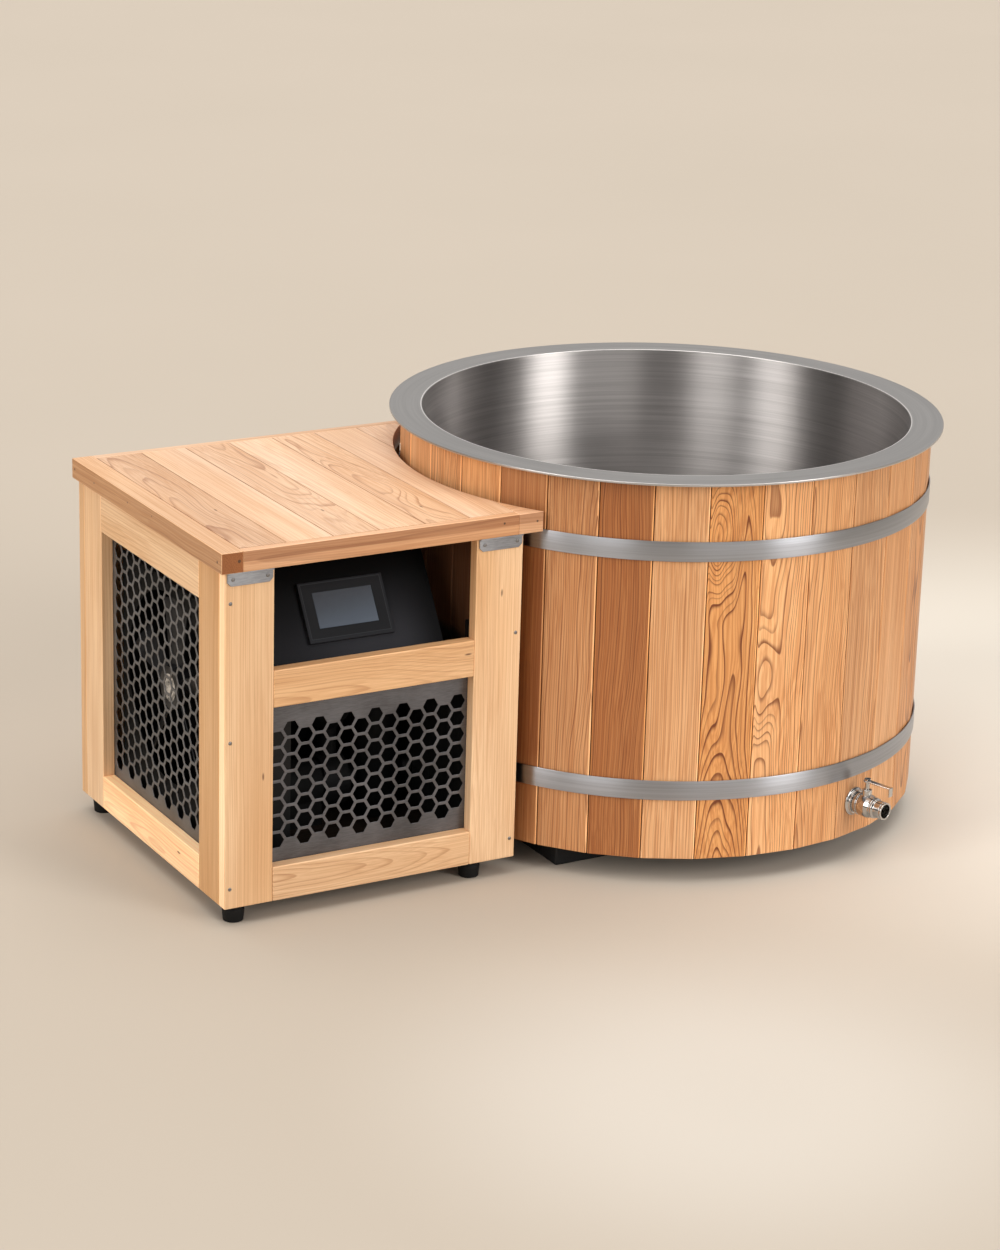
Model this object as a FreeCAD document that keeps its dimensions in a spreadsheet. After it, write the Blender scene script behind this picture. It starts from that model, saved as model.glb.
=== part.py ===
import FreeCAD, Part
import math
import os
import re
import Sketcher

# Cold plunge tub: a wooden barrel round a steel liner, with a chiller cabinet beside it.
# Millimetres. The origin is on the floor under the middle of the barrel. +Z is up, +X runs along
# the cabinet's front, the cabinet stands on the -X side and its front faces -Y.

SIZES = {
    # Steel liner and rim
    "liner_radius": 530,
    "liner_sheet": 1.5,
    "rim_width": 70,
    "rim_height": 876,
    "rim_sheet": 2,
    "rim_hem": 5,
    "foam_layer": 8.5,
    "foam_clearance": 0.3,
    "foam_top_gap": 17,
    # Wooden barrel
    "stave_count": 32,
    "stave_thickness": 34,
    "stave_gap": 0.4,
    "stave_ease": 2.5,
    "board_thickness": 26,
    "board_width": 118,
    "board_gap": 0.5,
    "hoop_width": 42,
    "hoop_sheet": 2.5,
    "hoop_clearance": 0.2,
    "upper_hoop_low": 707,
    "lower_hoop_low": 189,
    "hoop_split": 24,
    "lug_length": 14,
    "lug_reach": 16,
    "lug_height": 26,
    "draw_bolt_radius": 4,
    "draw_bolt_head": 6.5,
    "draw_bolt_head_length": 6,
    "bolt_clearance": 0.1,
    # Skid frame under the barrel
    "skid_length": 860,
    "skid_depth": 642,
    "skid_height": 57,
    "skid_width": 60,
    # Drain
    "drain_height": 129,
    "drain_stave": 6.5,
    "drain_bore": 15,
    "drain_pipe": 19,
    "drain_flange": 31,
    "drain_flange_sheet": 4,
    "drain_gasket_sheet": 2,
    "drain_clearance": 0.2,
    "strainer_depth": 8,
    "strainer_wall": 1.5,
    "strainer_slot": 3,
    "strainer_slot_pitch": 9,
    "strainer_slot_count": 5,
    "escutcheon_depth": 10,
    "escutcheon_lip": 5,
    "escutcheon_step": 1,
    "escutcheon_shoulder": 26,
    "valve_length": 48,
    "valve_ball_offset": 24,
    "valve_ball_radius": 20,
    "valve_ball_clearance": 0.4,
    "valve_collar": 25,
    "valve_neck": 22.5,
    "valve_groove": 3,
    "seat_clearance": 0.1,
    "stem_radius": 5,
    "stem_clearance": 0.05,
    "stem_boss": 9,
    "stem_boss_top": 36,
    "stem_top": 60,
    "tang_width": 5.8,
    "tang_length": 8,
    "tang_depth": 3.2,
    "lever_height": 53,
    "lever_sheet": 3,
    "lever_width": 12,
    "lever_reach": 63,
    "lever_tab": 20,
    "lever_nut_radius": 7.5,
    "lever_nut_height": 4,
    "spigot_length": 28,
    "spigot_radius": 19,
    "spigot_shoulder": 6,
    "spigot_shoulder_radius": 21.5,
    # Cabinet frame
    "cabinet_width": 667,
    "cabinet_tuck": 42,
    "cabinet_front_reach": 320,
    "cabinet_back": 416,
    "cabinet_bottom": 39,
    "frame_stock": 28,
    "front_stile_width": 107,
    "bottom_rail_height": 74,
    "recess_height": 216,
    "middle_rail_height": 78,
    "left_front_stile_width": 96,
    "left_rear_stile_width": 90,
    "left_top_rail_height": 87,
    "rear_board_count": 6,
    "inner_board_count": 6,
    "inner_board_gap": 26,
    "inner_board_sheet": 18,
    "cabinet_board_gap": 0.5,
    "deck_rise": 6,
    "deck_sheet": 18,
    "foot_radius": 24,
    "foot_taper": 2.5,
    "foot_inset": 36,
    "right_foot_inset": 88,
    # Hexagon grilles
    "grille_sheet": 2,
    "grille_lap": 12,
    "hex_pitch": 36.5,
    "hex_flats": 30,
    "hex_side_margin": 2,
    "front_hex_margin": 30,
    "front_hex_drop": 8,
    "left_hex_margin": 10,
    "left_hex_rise": 8,
    # Cabinet top
    "top_drop": 85,
    "top_sheet": 43,
    "top_left_overhang": 11,
    "top_front_overhang": 8,
    "top_back_overhang": 8,
    "top_cut_gap": 16,
    "top_left_rail_width": 47,
    "top_strip_depth": 20,
    "top_block_width": 57,
    "top_plank_count": 6,
    "bracket_width": 99,
    "bracket_height": 28,
    "bracket_sheet": 3,
    "bracket_corner": 8,
    "screw_radius": 4,
    "screw_head": 1.6,
    "screw_edge": 12,
    "left_screw_spacing": 290,
    "left_screw_drop": 64,
    "right_screw_drop": 212,
    "low_screw_rise": 43,
    # Control panel and touch screen
    "panel_slope": 58,
    "panel_sheet": 2,
    "panel_lip": 40,
    "panel_lip_drop": 12,
    "panel_flange": 22,
    "panel_end_gap": 4,
    "panel_right_gap": 76,
    "panel_ear_show": 7,
    "panel_ear_lap": 14,
    "panel_ear_rise": 37,
    "screen_from_left": 196,
    "screen_up_slope": 105,
    "screen_width": 190,
    "screen_height": 126,
    "screen_bezel": 9,
    "screen_body_width": 172,
    "screen_body_height": 108,
    "screen_body_depth": 38,
    "screen_cut_clearance": 1,
    "display_width": 133,
    "display_height": 75,
    "display_recess": 1.5,
    "display_rise": 3,
    # Fan and condenser
    "fan_radius": 196,
    "fan_tip_clearance": 9,
    "fan_depth": 34,
    "fan_hub_radius": 46,
    "fan_blade_count": 5,
    "fan_blade_sheet": 2.5,
    "fan_blade_pitch": 28,
    "fan_blade_tip_gap": 4,
    "fan_blade_root": 32,
    "fan_hub_overlap": 4,
    "fan_shaft_radius": 6,
    "fan_shaft_length": 40,
    "fan_shaft_clearance": 0.05,
    "fan_motor_gap": 6,
    "fan_motor_radius": 48,
    "fan_motor_length": 52,
    "fan_strap_width": 36,
    "fan_strap_sheet": 3,
    "shroud_gap": 14,
    "shroud_half_width": 232,
    "shroud_depth": 116,
    "shroud_sheet": 2,
    "coil_depth": 54,
    "coil_plate": 3,
    # Compressor
    "compressor_gap": 24,
    "compressor_back_gap": 70,
    "compressor_radius": 78,
    "compressor_height": 250,
    "compressor_dome": 34,
    "compressor_crown": 56,
    "compressor_foot": 7,
    "compressor_foot_reach": 100,
    # Water circuit
    "water_axis_height": 150,
    "return_height": 600,
    "water_pipe": 20,
    "water_bore": 16,
    "wall_flange": 34,
    "elbow_radius": 27,
    "wall_pipe_stub": 22,
    "wall_hole_clearance": 1,
    "filter_stub": 8,
    "filter_link": 32,
    "filter_radius": 52,
    "filter_wall": 5,
    "filter_height": 290,
    "filter_cap": 34,
    "filter_cap_lip": 8,
    "cartridge_gap": 8,
    "cartridge_bore": 16,
    "pump_length": 58,
    "pump_radius": 58,
    "pump_wall": 8,
    "impeller_gap": 3,
    "pump_shaft_radius": 7,
    "pump_shaft_clearance": 0.05,
    "pump_motor_radius": 52,
    "pump_motor_length": 100,
    "pump_foot_width": 80,
    "exchanger_low": 270,
    "exchanger_length": 240,
    "exchanger_radius": 46,
    "exchanger_neck": 26,
    # Power inlet at the back
    "inlet_from_left": 299,
    "inlet_height": 610,
    "inlet_width": 30,
    "inlet_rise": 24,
    "inlet_flange": 8,
    "inlet_flange_sheet": 4,
    "inlet_well": 16,
    "inlet_wall": 3,
    "inlet_clearance": 0.3,
}

# Places and radii that several pieces share, worked out from the sizes
DERIVED = {
    # Barrel, outwards from its axis and up from the floor
    "liner_out": "liner_radius + liner_sheet",
    "rim_out": "liner_radius + rim_width",
    "rim_under": "rim_height - rim_sheet",
    "stave_in": "liner_out + foam_layer",
    "stave_face": "stave_in + stave_thickness",
    "hoop_in": "stave_face / cos(180deg / stave_count) + hoop_clearance",
    "hoop_out": "hoop_in + hoop_sheet",
    "board_top": "skid_height + board_thickness",
    "liner_base": "board_top + liner_sheet",
    # Drain, outwards along its own axis
    "drain_angle": "-360 * drain_stave / stave_count",
    "wall_seat": "sqrt(liner_radius ^ 2 - drain_flange ^ 2) - seat_clearance",
    "flange_out": "wall_seat - drain_gasket_sheet",
    "flange_in": "flange_out - drain_flange_sheet",
    "valve_in": "stave_face + escutcheon_depth",
    "valve_out": "valve_in + valve_length",
    "ball_x": "valve_in + valve_ball_offset",
    "spigot_out": "valve_out + spigot_length",
    # Faces of the cabinet
    "cabinet_right": "cabinet_tuck - stave_face",
    "cabinet_left": "cabinet_right - cabinet_width",
    "cabinet_front": "-cabinet_front_reach",
    "cabinet_top": "rim_height - top_drop - top_sheet",
    "inside_front": "cabinet_front + frame_stock",
    "inside_left": "cabinet_left + frame_stock",
    "inside_back": "cabinet_back - frame_stock",
    "inner_board_face": "-stave_face - inner_board_gap",
    "inside_right": "inner_board_face - inner_board_sheet",
    "deck_top": "cabinet_bottom + deck_rise + deck_sheet",
    "opening_left": "cabinet_left + front_stile_width",
    "opening_right": "cabinet_right - front_stile_width",
    "opening_low": "cabinet_bottom + bottom_rail_height",
    "middle_rail_top": "cabinet_top - recess_height",
    "middle_rail_low": "middle_rail_top - middle_rail_height",
    "side_front": "inside_front + left_front_stile_width",
    "side_back": "inside_back - left_rear_stile_width",
    "side_top": "cabinet_top - left_top_rail_height",
    # Edges of the cabinet's top
    "top_left": "cabinet_left - top_left_overhang",
    "top_front": "cabinet_front - top_front_overhang",
    "top_back": "cabinet_back + top_back_overhang",
    "top_cut_radius": "stave_face + top_cut_gap",
    "rear_board_end": "-sqrt(top_cut_radius ^ 2 - inside_back ^ 2)",
    "top_rail_in": "top_left + top_left_rail_width",
    "top_strip_in": "top_front + top_strip_depth",
    "top_rear_in": "top_back - top_strip_depth",
    "top_corner": "-sqrt(top_cut_radius ^ 2 - top_front ^ 2)",
    "top_block_in": "top_corner - top_block_width",
    "top_horn": "-sqrt(top_cut_radius ^ 2 - top_back ^ 2)",
    # Control panel and touch screen
    "panel_lip_top": "middle_rail_top - panel_lip_drop",
    "panel_head": "inside_front + (cabinet_top - panel_lip_top) / tan(panel_slope * 1deg)",
    "screen_x": "opening_left + screen_from_left",
    # Fan, inwards along its axis from the left grille
    "fan_middle": "(side_front + side_back) / 2",
    "fan_height": "(opening_low + side_top) / 2",
    "shroud_face": "inside_left + grille_sheet + shroud_gap",
    "shroud_back": "shroud_face + shroud_depth",
    "shroud_left": "fan_middle - shroud_half_width",
    "shroud_right": "fan_middle + shroud_half_width",
    "shroud_top": "fan_height + shroud_half_width",
    "fan_face": "shroud_face + shroud_sheet",
    "motor_face": "fan_face + fan_depth + fan_motor_gap",
    "motor_back": "motor_face + fan_motor_length",
    # Chiller and water circuit, from the boards beside the barrel towards the left
    "compressor_x": "inside_right - compressor_gap - compressor_foot_reach",
    "compressor_y": "inside_back - compressor_back_gap - compressor_radius",
    "wall_pipe_end": "inside_right - wall_pipe_stub",
    "filter_x": "wall_pipe_end - filter_stub - filter_radius",
    "filter_in": "filter_radius - filter_wall",
    "pump_face": "filter_x - filter_radius - filter_link",
    "pump_x": "pump_face - pump_length / 2",
    "pump_back": "pump_face - pump_length",
    "pump_in": "pump_radius - pump_wall",
    "inlet_x": "cabinet_left + inlet_from_left",
}

doc = FreeCAD.newDocument("cold_plunge_tub")
sheet = doc.addObject("Spreadsheet::Sheet", "Sizes")
formulas = {alias: "=" + formula for alias, formula in DERIVED.items()}
for row, (alias, value) in enumerate({**SIZES, **formulas}.items(), start=1):
    sheet.set(f"A{row}", alias)
    sheet.set(f"B{row}", str(value))
    sheet.setAlias(f"B{row}", alias)
doc.recompute()

WORDS = re.compile(r"\b(" + "|".join([*SIZES, *DERIVED]) + r")\b")
ORIGIN = FreeCAD.Vector(0, 0, 0)
UP = FreeCAD.Vector(0, 0, 1)
parts = []


def full(expression):
    """The expression with every size written as a cell of the sheet."""
    return WORDS.sub(r"Sizes.\1", expression)


def size(expression):
    """The number that an expression of sizes gives."""
    return float(sheet.evalExpression(full(expression)))


def bind(thing, **expressions):
    """Tie properties of an object to expressions of sizes."""
    for name, expression in expressions.items():
        thing.setExpression(name.replace("__", "."), full(expression))
    return thing


def place(thing, x="0", y="0", z="0"):
    """Tie an object's place to expressions of sizes."""
    return bind(thing, Placement__Base__x=x, Placement__Base__y=y, Placement__Base__z=z)


def part(label, thing):
    """Name an object as one sub-part of the assembly."""
    thing.Label = label
    parts.append(thing)
    return thing


def block(name, x, y, z):
    """A box between two corners, each axis given as a (low, high) pair of expressions."""
    box = doc.addObject("Part::Box", name)
    bind(box, Length=f"({x[1]}) - ({x[0]})", Width=f"({y[1]}) - ({y[0]})", Height=f"({z[1]}) - ({z[0]})")
    return place(box, x[0], y[0], z[0])


def rod(name, radius, length, x="0", y="0", z="0", turn=None):
    """A round bar that starts at a point and runs along +Z, or along another axis by a turn."""
    bar = doc.addObject("Part::Cylinder", name)
    bind(bar, Radius=radius, Height=length)
    if turn:
        bar.Placement.Rotation = turn
    return place(bar, x, y, z)


ALONG_X = FreeCAD.Rotation(FreeCAD.Vector(0, 1, 0), 90)
ALONG_Y = FreeCAD.Rotation(FreeCAD.Vector(1, 0, 0), -90)


def cut(name, base, *tools):
    """One object less the others."""
    result = doc.addObject("Part::Cut", name)
    result.Base = base
    result.Tool = tools[0] if len(tools) == 1 else fuse(name + "_tools", *tools)
    return result


def fuse(name, *things):
    """Several objects joined into one solid."""
    result = doc.addObject("Part::MultiFuse", name)
    result.Shapes = list(things)
    return result


def group(name, things):
    """Several separate solids of one node."""
    result = doc.addObject("Part::Compound", name)
    result.Links = list(things)
    return result


def outline(body, plane, points):
    """A closed sketch of straight lines on one of the body's planes, its corners tied to sizes."""
    sketch = body.newObject("Sketcher::SketchObject", body.Name + "_outline")
    support = [face for face in body.Origin.OriginFeatures if face.Role == plane]
    sketch.AttachmentSupport = [(support[0], "")]
    sketch.MapMode = "FlatFace"
    corners = [FreeCAD.Vector(size(first), size(second), 0) for first, second in points]
    count = len(corners)
    for index, corner in enumerate(corners):
        sketch.addGeometry(Part.LineSegment(corner, corners[(index + 1) % count]), False)
    for index in range(count):
        sketch.addConstraint(Sketcher.Constraint("Coincident", index, 2, (index + 1) % count, 1))
    for index, corner in enumerate(corners):
        for axis, expression, value in (
            ("DistanceX", points[index][0], corner.x),
            ("DistanceY", points[index][1], corner.y),
        ):
            number = sketch.addConstraint(Sketcher.Constraint(axis, -1, 1, index, 1, value))
            sketch.setExpression(f"Constraints[{number}]", full(expression))
    return sketch


def turned(name, points, about="V_Axis"):
    """A turned piece: (radius, z) points about the Z axis, or (x, radius) points about the X axis."""
    body = doc.addObject("PartDesign::Body", name)
    sketch = outline(body, "XZ_Plane", points)
    doc.recompute()
    turn = body.newObject("PartDesign::Revolution", name + "_turn")
    turn.Profile = sketch
    turn.ReferenceAxis = (sketch, [about])
    turn.Angle = 360
    return body


def ring(name, inner, outer, low, high):
    """A turned ring about the Z axis."""
    return turned(name, [(inner, low), (outer, low), (outer, high), (inner, high)])


def padded_outline(name, plane, points, length):
    """A straight-sided outline padded by a length."""
    body = doc.addObject("PartDesign::Body", name)
    sketch = outline(body, plane, points)
    doc.recompute()
    pad = body.newObject("PartDesign::Pad", name + "_pad")
    pad.Profile = sketch
    bind(pad, Length=length)
    return body


def radial_hole(name, radius, angle, height):
    """A round cutter through the tub wall, pointing out from the barrel's axis."""
    turn = FreeCAD.Rotation(UP, size(angle)) * ALONG_X
    x = f"liner_radius / 2 * cos({angle} * 1deg)"
    y = f"liner_radius / 2 * sin({angle} * 1deg)"
    return rod(name, radius, "rim_out", x, y, height, turn)


def wall_holes(name, clearance):
    """The three pipe holes of the tub wall: drain, suction and return."""
    return [
        radial_hole(name + "_drain", f"drain_pipe + {clearance}", "drain_angle", "drain_height"),
        radial_hole(name + "_suction", f"water_pipe + {clearance}", "180", "water_axis_height"),
        radial_hole(name + "_return", f"water_pipe + {clearance}", "180", "return_height"),
    ]


def make_liner():
    """Rolled wall, flat floor and flanged rim of stainless sheet, with foam behind the wall."""
    wall = ring("liner_tube", "liner_radius", "liner_out", "liner_base", "rim_under")
    part("liner_wall", cut("liner_wall", wall, *wall_holes("liner", "drain_clearance")))
    part("liner_floor", rod("liner_floor", "liner_out", "liner_sheet", z="board_top"))
    hem_in = "rim_out - rim_sheet"
    hem_low = "rim_height - rim_hem"
    part("rim_flange", turned("rim_flange", [
        ("liner_radius", "rim_under"), (hem_in, "rim_under"), (hem_in, hem_low),
        ("rim_out", hem_low), ("rim_out", "rim_height"), ("liner_radius", "rim_height"),
    ]))
    foam = ring("foam_tube", "liner_out + foam_clearance", "stave_in - foam_clearance",
                "liner_base", "rim_under - foam_top_gap")
    part("insulation_wrap", cut("insulation_wrap", foam, *wall_holes("foam", "drain_clearance")))


def make_staves():
    """Flat staves with eased outer edges, set edge to edge round the foam."""
    face, inner = size("stave_face"), size("stave_in")
    count = int(size("stave_count"))
    half_turn = math.pi / count
    half_gap = size("stave_gap") / 2 / math.cos(half_turn)
    ease = size("stave_ease")
    low, tall = size("skid_height"), size("rim_under - skid_height")
    outer_half = face * math.tan(half_turn) - half_gap
    inner_half = inner * math.tan(half_turn) - half_gap
    eased = face - ease
    eased_half = eased * math.tan(half_turn) - half_gap
    section = [(inner, -inner_half), (eased, -eased_half), (face, ease - outer_half),
               (face, outer_half - ease), (eased, eased_half), (inner, inner_half)]
    corners = [FreeCAD.Vector(x, y, low) for x, y in section]
    stave = Part.Face(Part.makePolygon(corners + corners[:1])).extrude(UP * tall)
    staves = []
    for index in range(count):
        turned_stave = stave.copy()
        turned_stave.rotate(ORIGIN, UP, math.degrees(half_turn) * (2 * index + 1))
        staves.append(turned_stave)
    return staves


def make_barrel():
    """Staves, floor boards and the two clamped hoops."""
    staves = doc.addObject("Part::Feature", "stave_ring")
    staves.Shape = Part.Compound(make_staves())
    part("staves", cut("staves", staves, *wall_holes("barrel", "drain_clearance")))
    disc = rod("floor_disc", "stave_in - foam_clearance", "board_thickness", z="skid_height")
    radius = size("stave_in")
    width = size("board_width")
    count = 2 * math.ceil((radius - width / 2) / width) + 1
    boards = []
    for index in range(count):
        middle = f"{index - count // 2} * board_width"
        strip = block(f"floor_strip_{index}", (f"{middle} - board_width / 2 + board_gap / 2",
                      f"{middle} + board_width / 2 - board_gap / 2"), ("-stave_in", "stave_in"),
                      ("skid_height", "board_top"))
        board = doc.addObject("Part::Common", f"floor_board_{index}")
        board.Base, board.Tool = strip, disc
        boards.append(board)
    part("floor_boards", group("floor_boards", boards))
    bolts = []
    for label, low in (("upper_hoop", "upper_hoop_low"), ("lower_hoop", "lower_hoop_low")):
        bolts.append(make_hoop(label, low))
    part("hoop_bolts", group("hoop_bolts", bolts))


def make_hoop(label, low):
    """A flat steel band, split at the back, with a lug welded to each end and a draw bolt."""
    high = f"{low} + hoop_width"
    middle = f"({low} + hoop_width / 2)"
    band = ring(label + "_band", "hoop_in", "hoop_out", low, high)
    split = block(label + "_split", ("-hoop_split / 2", "hoop_split / 2"), ("0", "rim_out"), (low, high))
    open_band = cut(label + "_open", band, split)
    lug_end = "hoop_split / 2 + lug_length"
    span = ("hoop_out - hoop_sheet / 2", "hoop_out + lug_reach")
    rise = (f"{middle} - lug_height / 2", f"{middle} + lug_height / 2")
    lugs = [block(f"{label}_lug_left", (f"-({lug_end})", "-hoop_split / 2"), span, rise),
            block(f"{label}_lug_right", ("hoop_split / 2", lug_end), span, rise)]
    line = "hoop_out + lug_reach / 2"
    head_end = f"-({lug_end}) - draw_bolt_head_length"
    length = f"2 * ({lug_end} + draw_bolt_head_length)"
    hole = rod(label + "_hole", "draw_bolt_radius + bolt_clearance", length, head_end, line, middle, ALONG_X)
    part(label, cut(label, fuse(label + "_welded", open_band, *lugs), hole))
    shank = rod(label + "_shank", "draw_bolt_radius", length, head_end, line, middle, ALONG_X)
    ends = []
    for index, start in enumerate((head_end, lug_end)):
        ends.append(rod(f"{label}_head_{index}", "draw_bolt_head", "draw_bolt_head_length",
                        start, line, middle, ALONG_X))
    return fuse(label + "_bolt", shank, *ends)


def make_skid():
    """Black skid frame: two long beams with three cross beams between them."""
    ends = ("-skid_length / 2", "skid_length / 2")
    rise = ("0", "skid_height")
    inside = "(skid_depth / 2 - skid_width)"
    part("base_long_beams", group("base_long_beams", [
        block("front_beam", ends, ("-skid_depth / 2", f"-{inside}"), rise),
        block("rear_beam", ends, (inside, "skid_depth / 2"), rise),
    ]))
    beams = []
    for index in (-1, 0, 1):
        middle = f"({index} * (skid_length - skid_width) / 2)"
        span = (f"{middle} - skid_width / 2", f"{middle} + skid_width / 2")
        beams.append(block(f"cross_beam_{index + 1}", span, (f"-{inside}", inside), rise))
    part("base_cross_beams", group("base_cross_beams", beams))


def on_drain(label, thing):
    """Set a drain piece, made along +X, on the drain's axis."""
    thing.Placement.Rotation = FreeCAD.Rotation(UP, size("drain_angle"))
    bind(thing, Placement__Base__z="drain_height")
    return part(label, thing)


def make_drain():
    """Strainer, gasket and tail pipe through the wall, then a ball valve with a lever and a spigot."""
    cap_in = "(flange_in - strainer_depth)"
    cap_out = "(drain_flange - drain_flange_sheet)"
    cap = turned("strainer_cap", [
        (cap_in, "0"), (f"{cap_in} + strainer_wall", "0"),
        (f"{cap_in} + strainer_wall", f"{cap_out} - strainer_wall"),
        ("flange_in", f"{cap_out} - strainer_wall"), ("flange_in", cap_out),
        (f"{cap_in} + strainer_wall", cap_out),
        (cap_in, f"{cap_out} - strainer_wall"),
    ], "H_Axis")
    slots = []
    for index in range(int(size("strainer_slot_count"))):
        middle = f"({index} - (strainer_slot_count - 1) / 2) * strainer_slot_pitch"
        slots.append(block(
            f"strainer_slot_{index}", (f"{cap_in} - strainer_wall", f"{cap_in} + 2 * strainer_wall"),
            (f"-{cap_out} / 2", f"{cap_out} / 2"),
            (f"{middle} - strainer_slot / 2", f"{middle} + strainer_slot / 2")))
    on_drain("drain_strainer", cut("drain_strainer", cap, *slots))
    on_drain("drain_tailpiece", turned("drain_tailpiece", [
        ("flange_in", "drain_bore"), ("flange_in", "drain_flange"), ("flange_out", "drain_flange"),
        ("flange_out", "drain_pipe"), ("valve_in", "drain_pipe"), ("valve_in", "drain_bore"),
    ], "H_Axis"))
    sleeve = "drain_pipe + drain_clearance"
    on_drain("drain_gasket", turned("drain_gasket", [
        ("flange_out", sleeve), ("wall_seat", sleeve),
        ("wall_seat", "drain_flange"), ("flange_out", "drain_flange"),
    ], "H_Axis"))
    on_drain("drain_escutcheon", turned("drain_escutcheon", [
        ("stave_face", sleeve), ("valve_in", sleeve), ("valve_in", "escutcheon_shoulder"),
        ("stave_face + escutcheon_lip + escutcheon_step", "escutcheon_shoulder"),
        ("stave_face + escutcheon_lip", "drain_flange"), ("stave_face", "drain_flange"),
    ], "H_Axis"))
    cavity = "(valve_ball_radius + valve_ball_clearance)"
    first_groove = "(valve_in + valve_groove * 2)"
    barrel = turned("valve_barrel", [
        ("valve_in", "drain_bore"), ("valve_in", "valve_neck"), (first_groove, "valve_neck"),
        (first_groove, "valve_collar"), (f"{first_groove} + valve_groove", "valve_collar"),
        (f"{first_groove} + valve_groove", "valve_neck"),
        (f"{first_groove} + valve_groove * 2", "valve_neck"),
        (f"{first_groove} + valve_groove * 2", "valve_collar"), (f"ball_x + {cavity} / 2", "valve_collar"),
        (f"ball_x + {cavity}", "valve_neck"), ("valve_out", "valve_neck"), ("valve_out", "drain_bore"),
        (f"ball_x + {cavity}", "drain_bore"), (f"ball_x + {cavity}", cavity),
        (f"ball_x - {cavity}", cavity), (f"ball_x - {cavity}", "drain_bore"),
    ], "H_Axis")
    boss = rod("stem_boss_bar", "stem_boss", f"stem_boss_top - {cavity}", "ball_x", "0", cavity)
    bore = rod("stem_bore", "stem_radius + stem_clearance", "stem_boss_top", "ball_x")
    on_drain("valve_body", cut("valve_body", fuse("valve_casting", barrel, boss), bore))
    seats = []
    lip = f"(drain_bore + {cavity}) / 2"
    touch = "(sqrt(valve_ball_radius ^ 2 - drain_bore ^ 2) + seat_clearance)"
    for side, sign in (("in", "-"), ("out", "+")):
        wall, face = f"ball_x {sign} {cavity}", f"ball_x {sign} {touch}"
        seats.append(turned("valve_seat_" + side, [
            (wall, "drain_bore"), (wall, lip), (face, lip), (face, "drain_bore"),
        ], "H_Axis"))
    on_drain("valve_seats", group("valve_seats", seats))
    make_valve_core()
    on_drain("outlet_spigot", turned("outlet_spigot", [
        ("valve_out", "drain_bore"), ("valve_out", "spigot_shoulder_radius"),
        ("valve_out + spigot_shoulder", "spigot_radius"),
        ("spigot_out", "spigot_radius"), ("spigot_out", "drain_bore"),
    ], "H_Axis"))


def make_valve_core():
    """Ball, stem, lever and nut, which turn together about the upright stem."""
    sphere = doc.addObject("Part::Sphere", "ball_sphere")
    bind(sphere, Radius="valve_ball_radius")
    place(sphere, "ball_x")
    port = rod("ball_port", "drain_bore", "4 * valve_ball_radius", "ball_x - 2 * valve_ball_radius",
               turn=ALONG_X)
    slot_low = "(valve_ball_radius - tang_depth)"
    half_length = "(tang_length / 2 + stem_clearance)"
    half_width = "(tang_width / 2 + stem_clearance)"
    slot = block("ball_slot", (f"ball_x - {half_length}", f"ball_x + {half_length}"),
                 (f"-{half_width}", half_width), (slot_low, "2 * valve_ball_radius"))
    on_drain("valve_ball", cut("valve_ball", sphere, port, slot))
    stem_low = "(valve_ball_radius + valve_ball_clearance)"
    shaft = rod("stem_shaft", "stem_radius", f"stem_top - {stem_low}", "ball_x", "0", stem_low)
    tang = block("stem_tang", ("ball_x - tang_length / 2", "ball_x + tang_length / 2"),
                 ("-tang_width / 2", "tang_width / 2"), (slot_low, f"{stem_low} + tang_depth"))
    on_drain("valve_stem", fuse("valve_stem", shaft, tang))
    top = "(lever_height + lever_sheet)"
    eye = rod("lever_eye", "lever_width / 2 + lever_sheet", "lever_sheet", "ball_x", "0", "lever_height")
    arm = block("lever_arm", ("ball_x", "ball_x + lever_reach"), ("-lever_width / 2", "lever_width / 2"),
                ("lever_height", top))
    tab = block("lever_tab_plate", ("ball_x + lever_reach - lever_sheet", "ball_x + lever_reach"),
                ("-lever_width / 2", "lever_width / 2"), (f"{top} - lever_tab", top))
    hole = rod("lever_hole", "stem_radius + stem_clearance", "stem_top", "ball_x")
    on_drain("drain_lever", cut("drain_lever", fuse("lever_plate", eye, arm, tab), hole))
    nut = doc.addObject("Part::Prism", "nut_prism")
    bind(nut, Circumradius="lever_nut_radius", Height="lever_nut_height")
    place(nut, "ball_x", "0", top)
    nut_hole = rod("nut_hole", "stem_radius + stem_clearance", "stem_top", "ball_x")
    on_drain("lever_nut", cut("lever_nut", nut, nut_hole))


def make_frame():
    """Stiles and rails of the front and of the left side."""
    front = ("cabinet_front", "inside_front")
    tall = ("cabinet_bottom", "cabinet_top")
    part("front_left_stile", block("front_left_stile", ("cabinet_left", "opening_left"), front, tall))
    part("front_right_stile", block("front_right_stile", ("opening_right", "cabinet_right"), front, tall))
    between = ("opening_left", "opening_right")
    part("front_bottom_rail", block("front_bottom_rail", between, front, ("cabinet_bottom", "opening_low")))
    part("front_middle_rail", block("front_middle_rail", between, front,
                                    ("middle_rail_low", "middle_rail_top")))
    side = ("cabinet_left", "inside_left")
    part("left_front_stile", block("left_front_stile", side, ("inside_front", "side_front"), tall))
    part("left_rear_stile", block("left_rear_stile", side, ("side_back", "inside_back"), tall))
    span = ("side_front", "side_back")
    part("left_bottom_rail", block("left_bottom_rail", side, span, ("cabinet_bottom", "opening_low")))
    part("left_top_rail", block("left_top_rail", side, span, ("side_top", "cabinet_top")))


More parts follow.
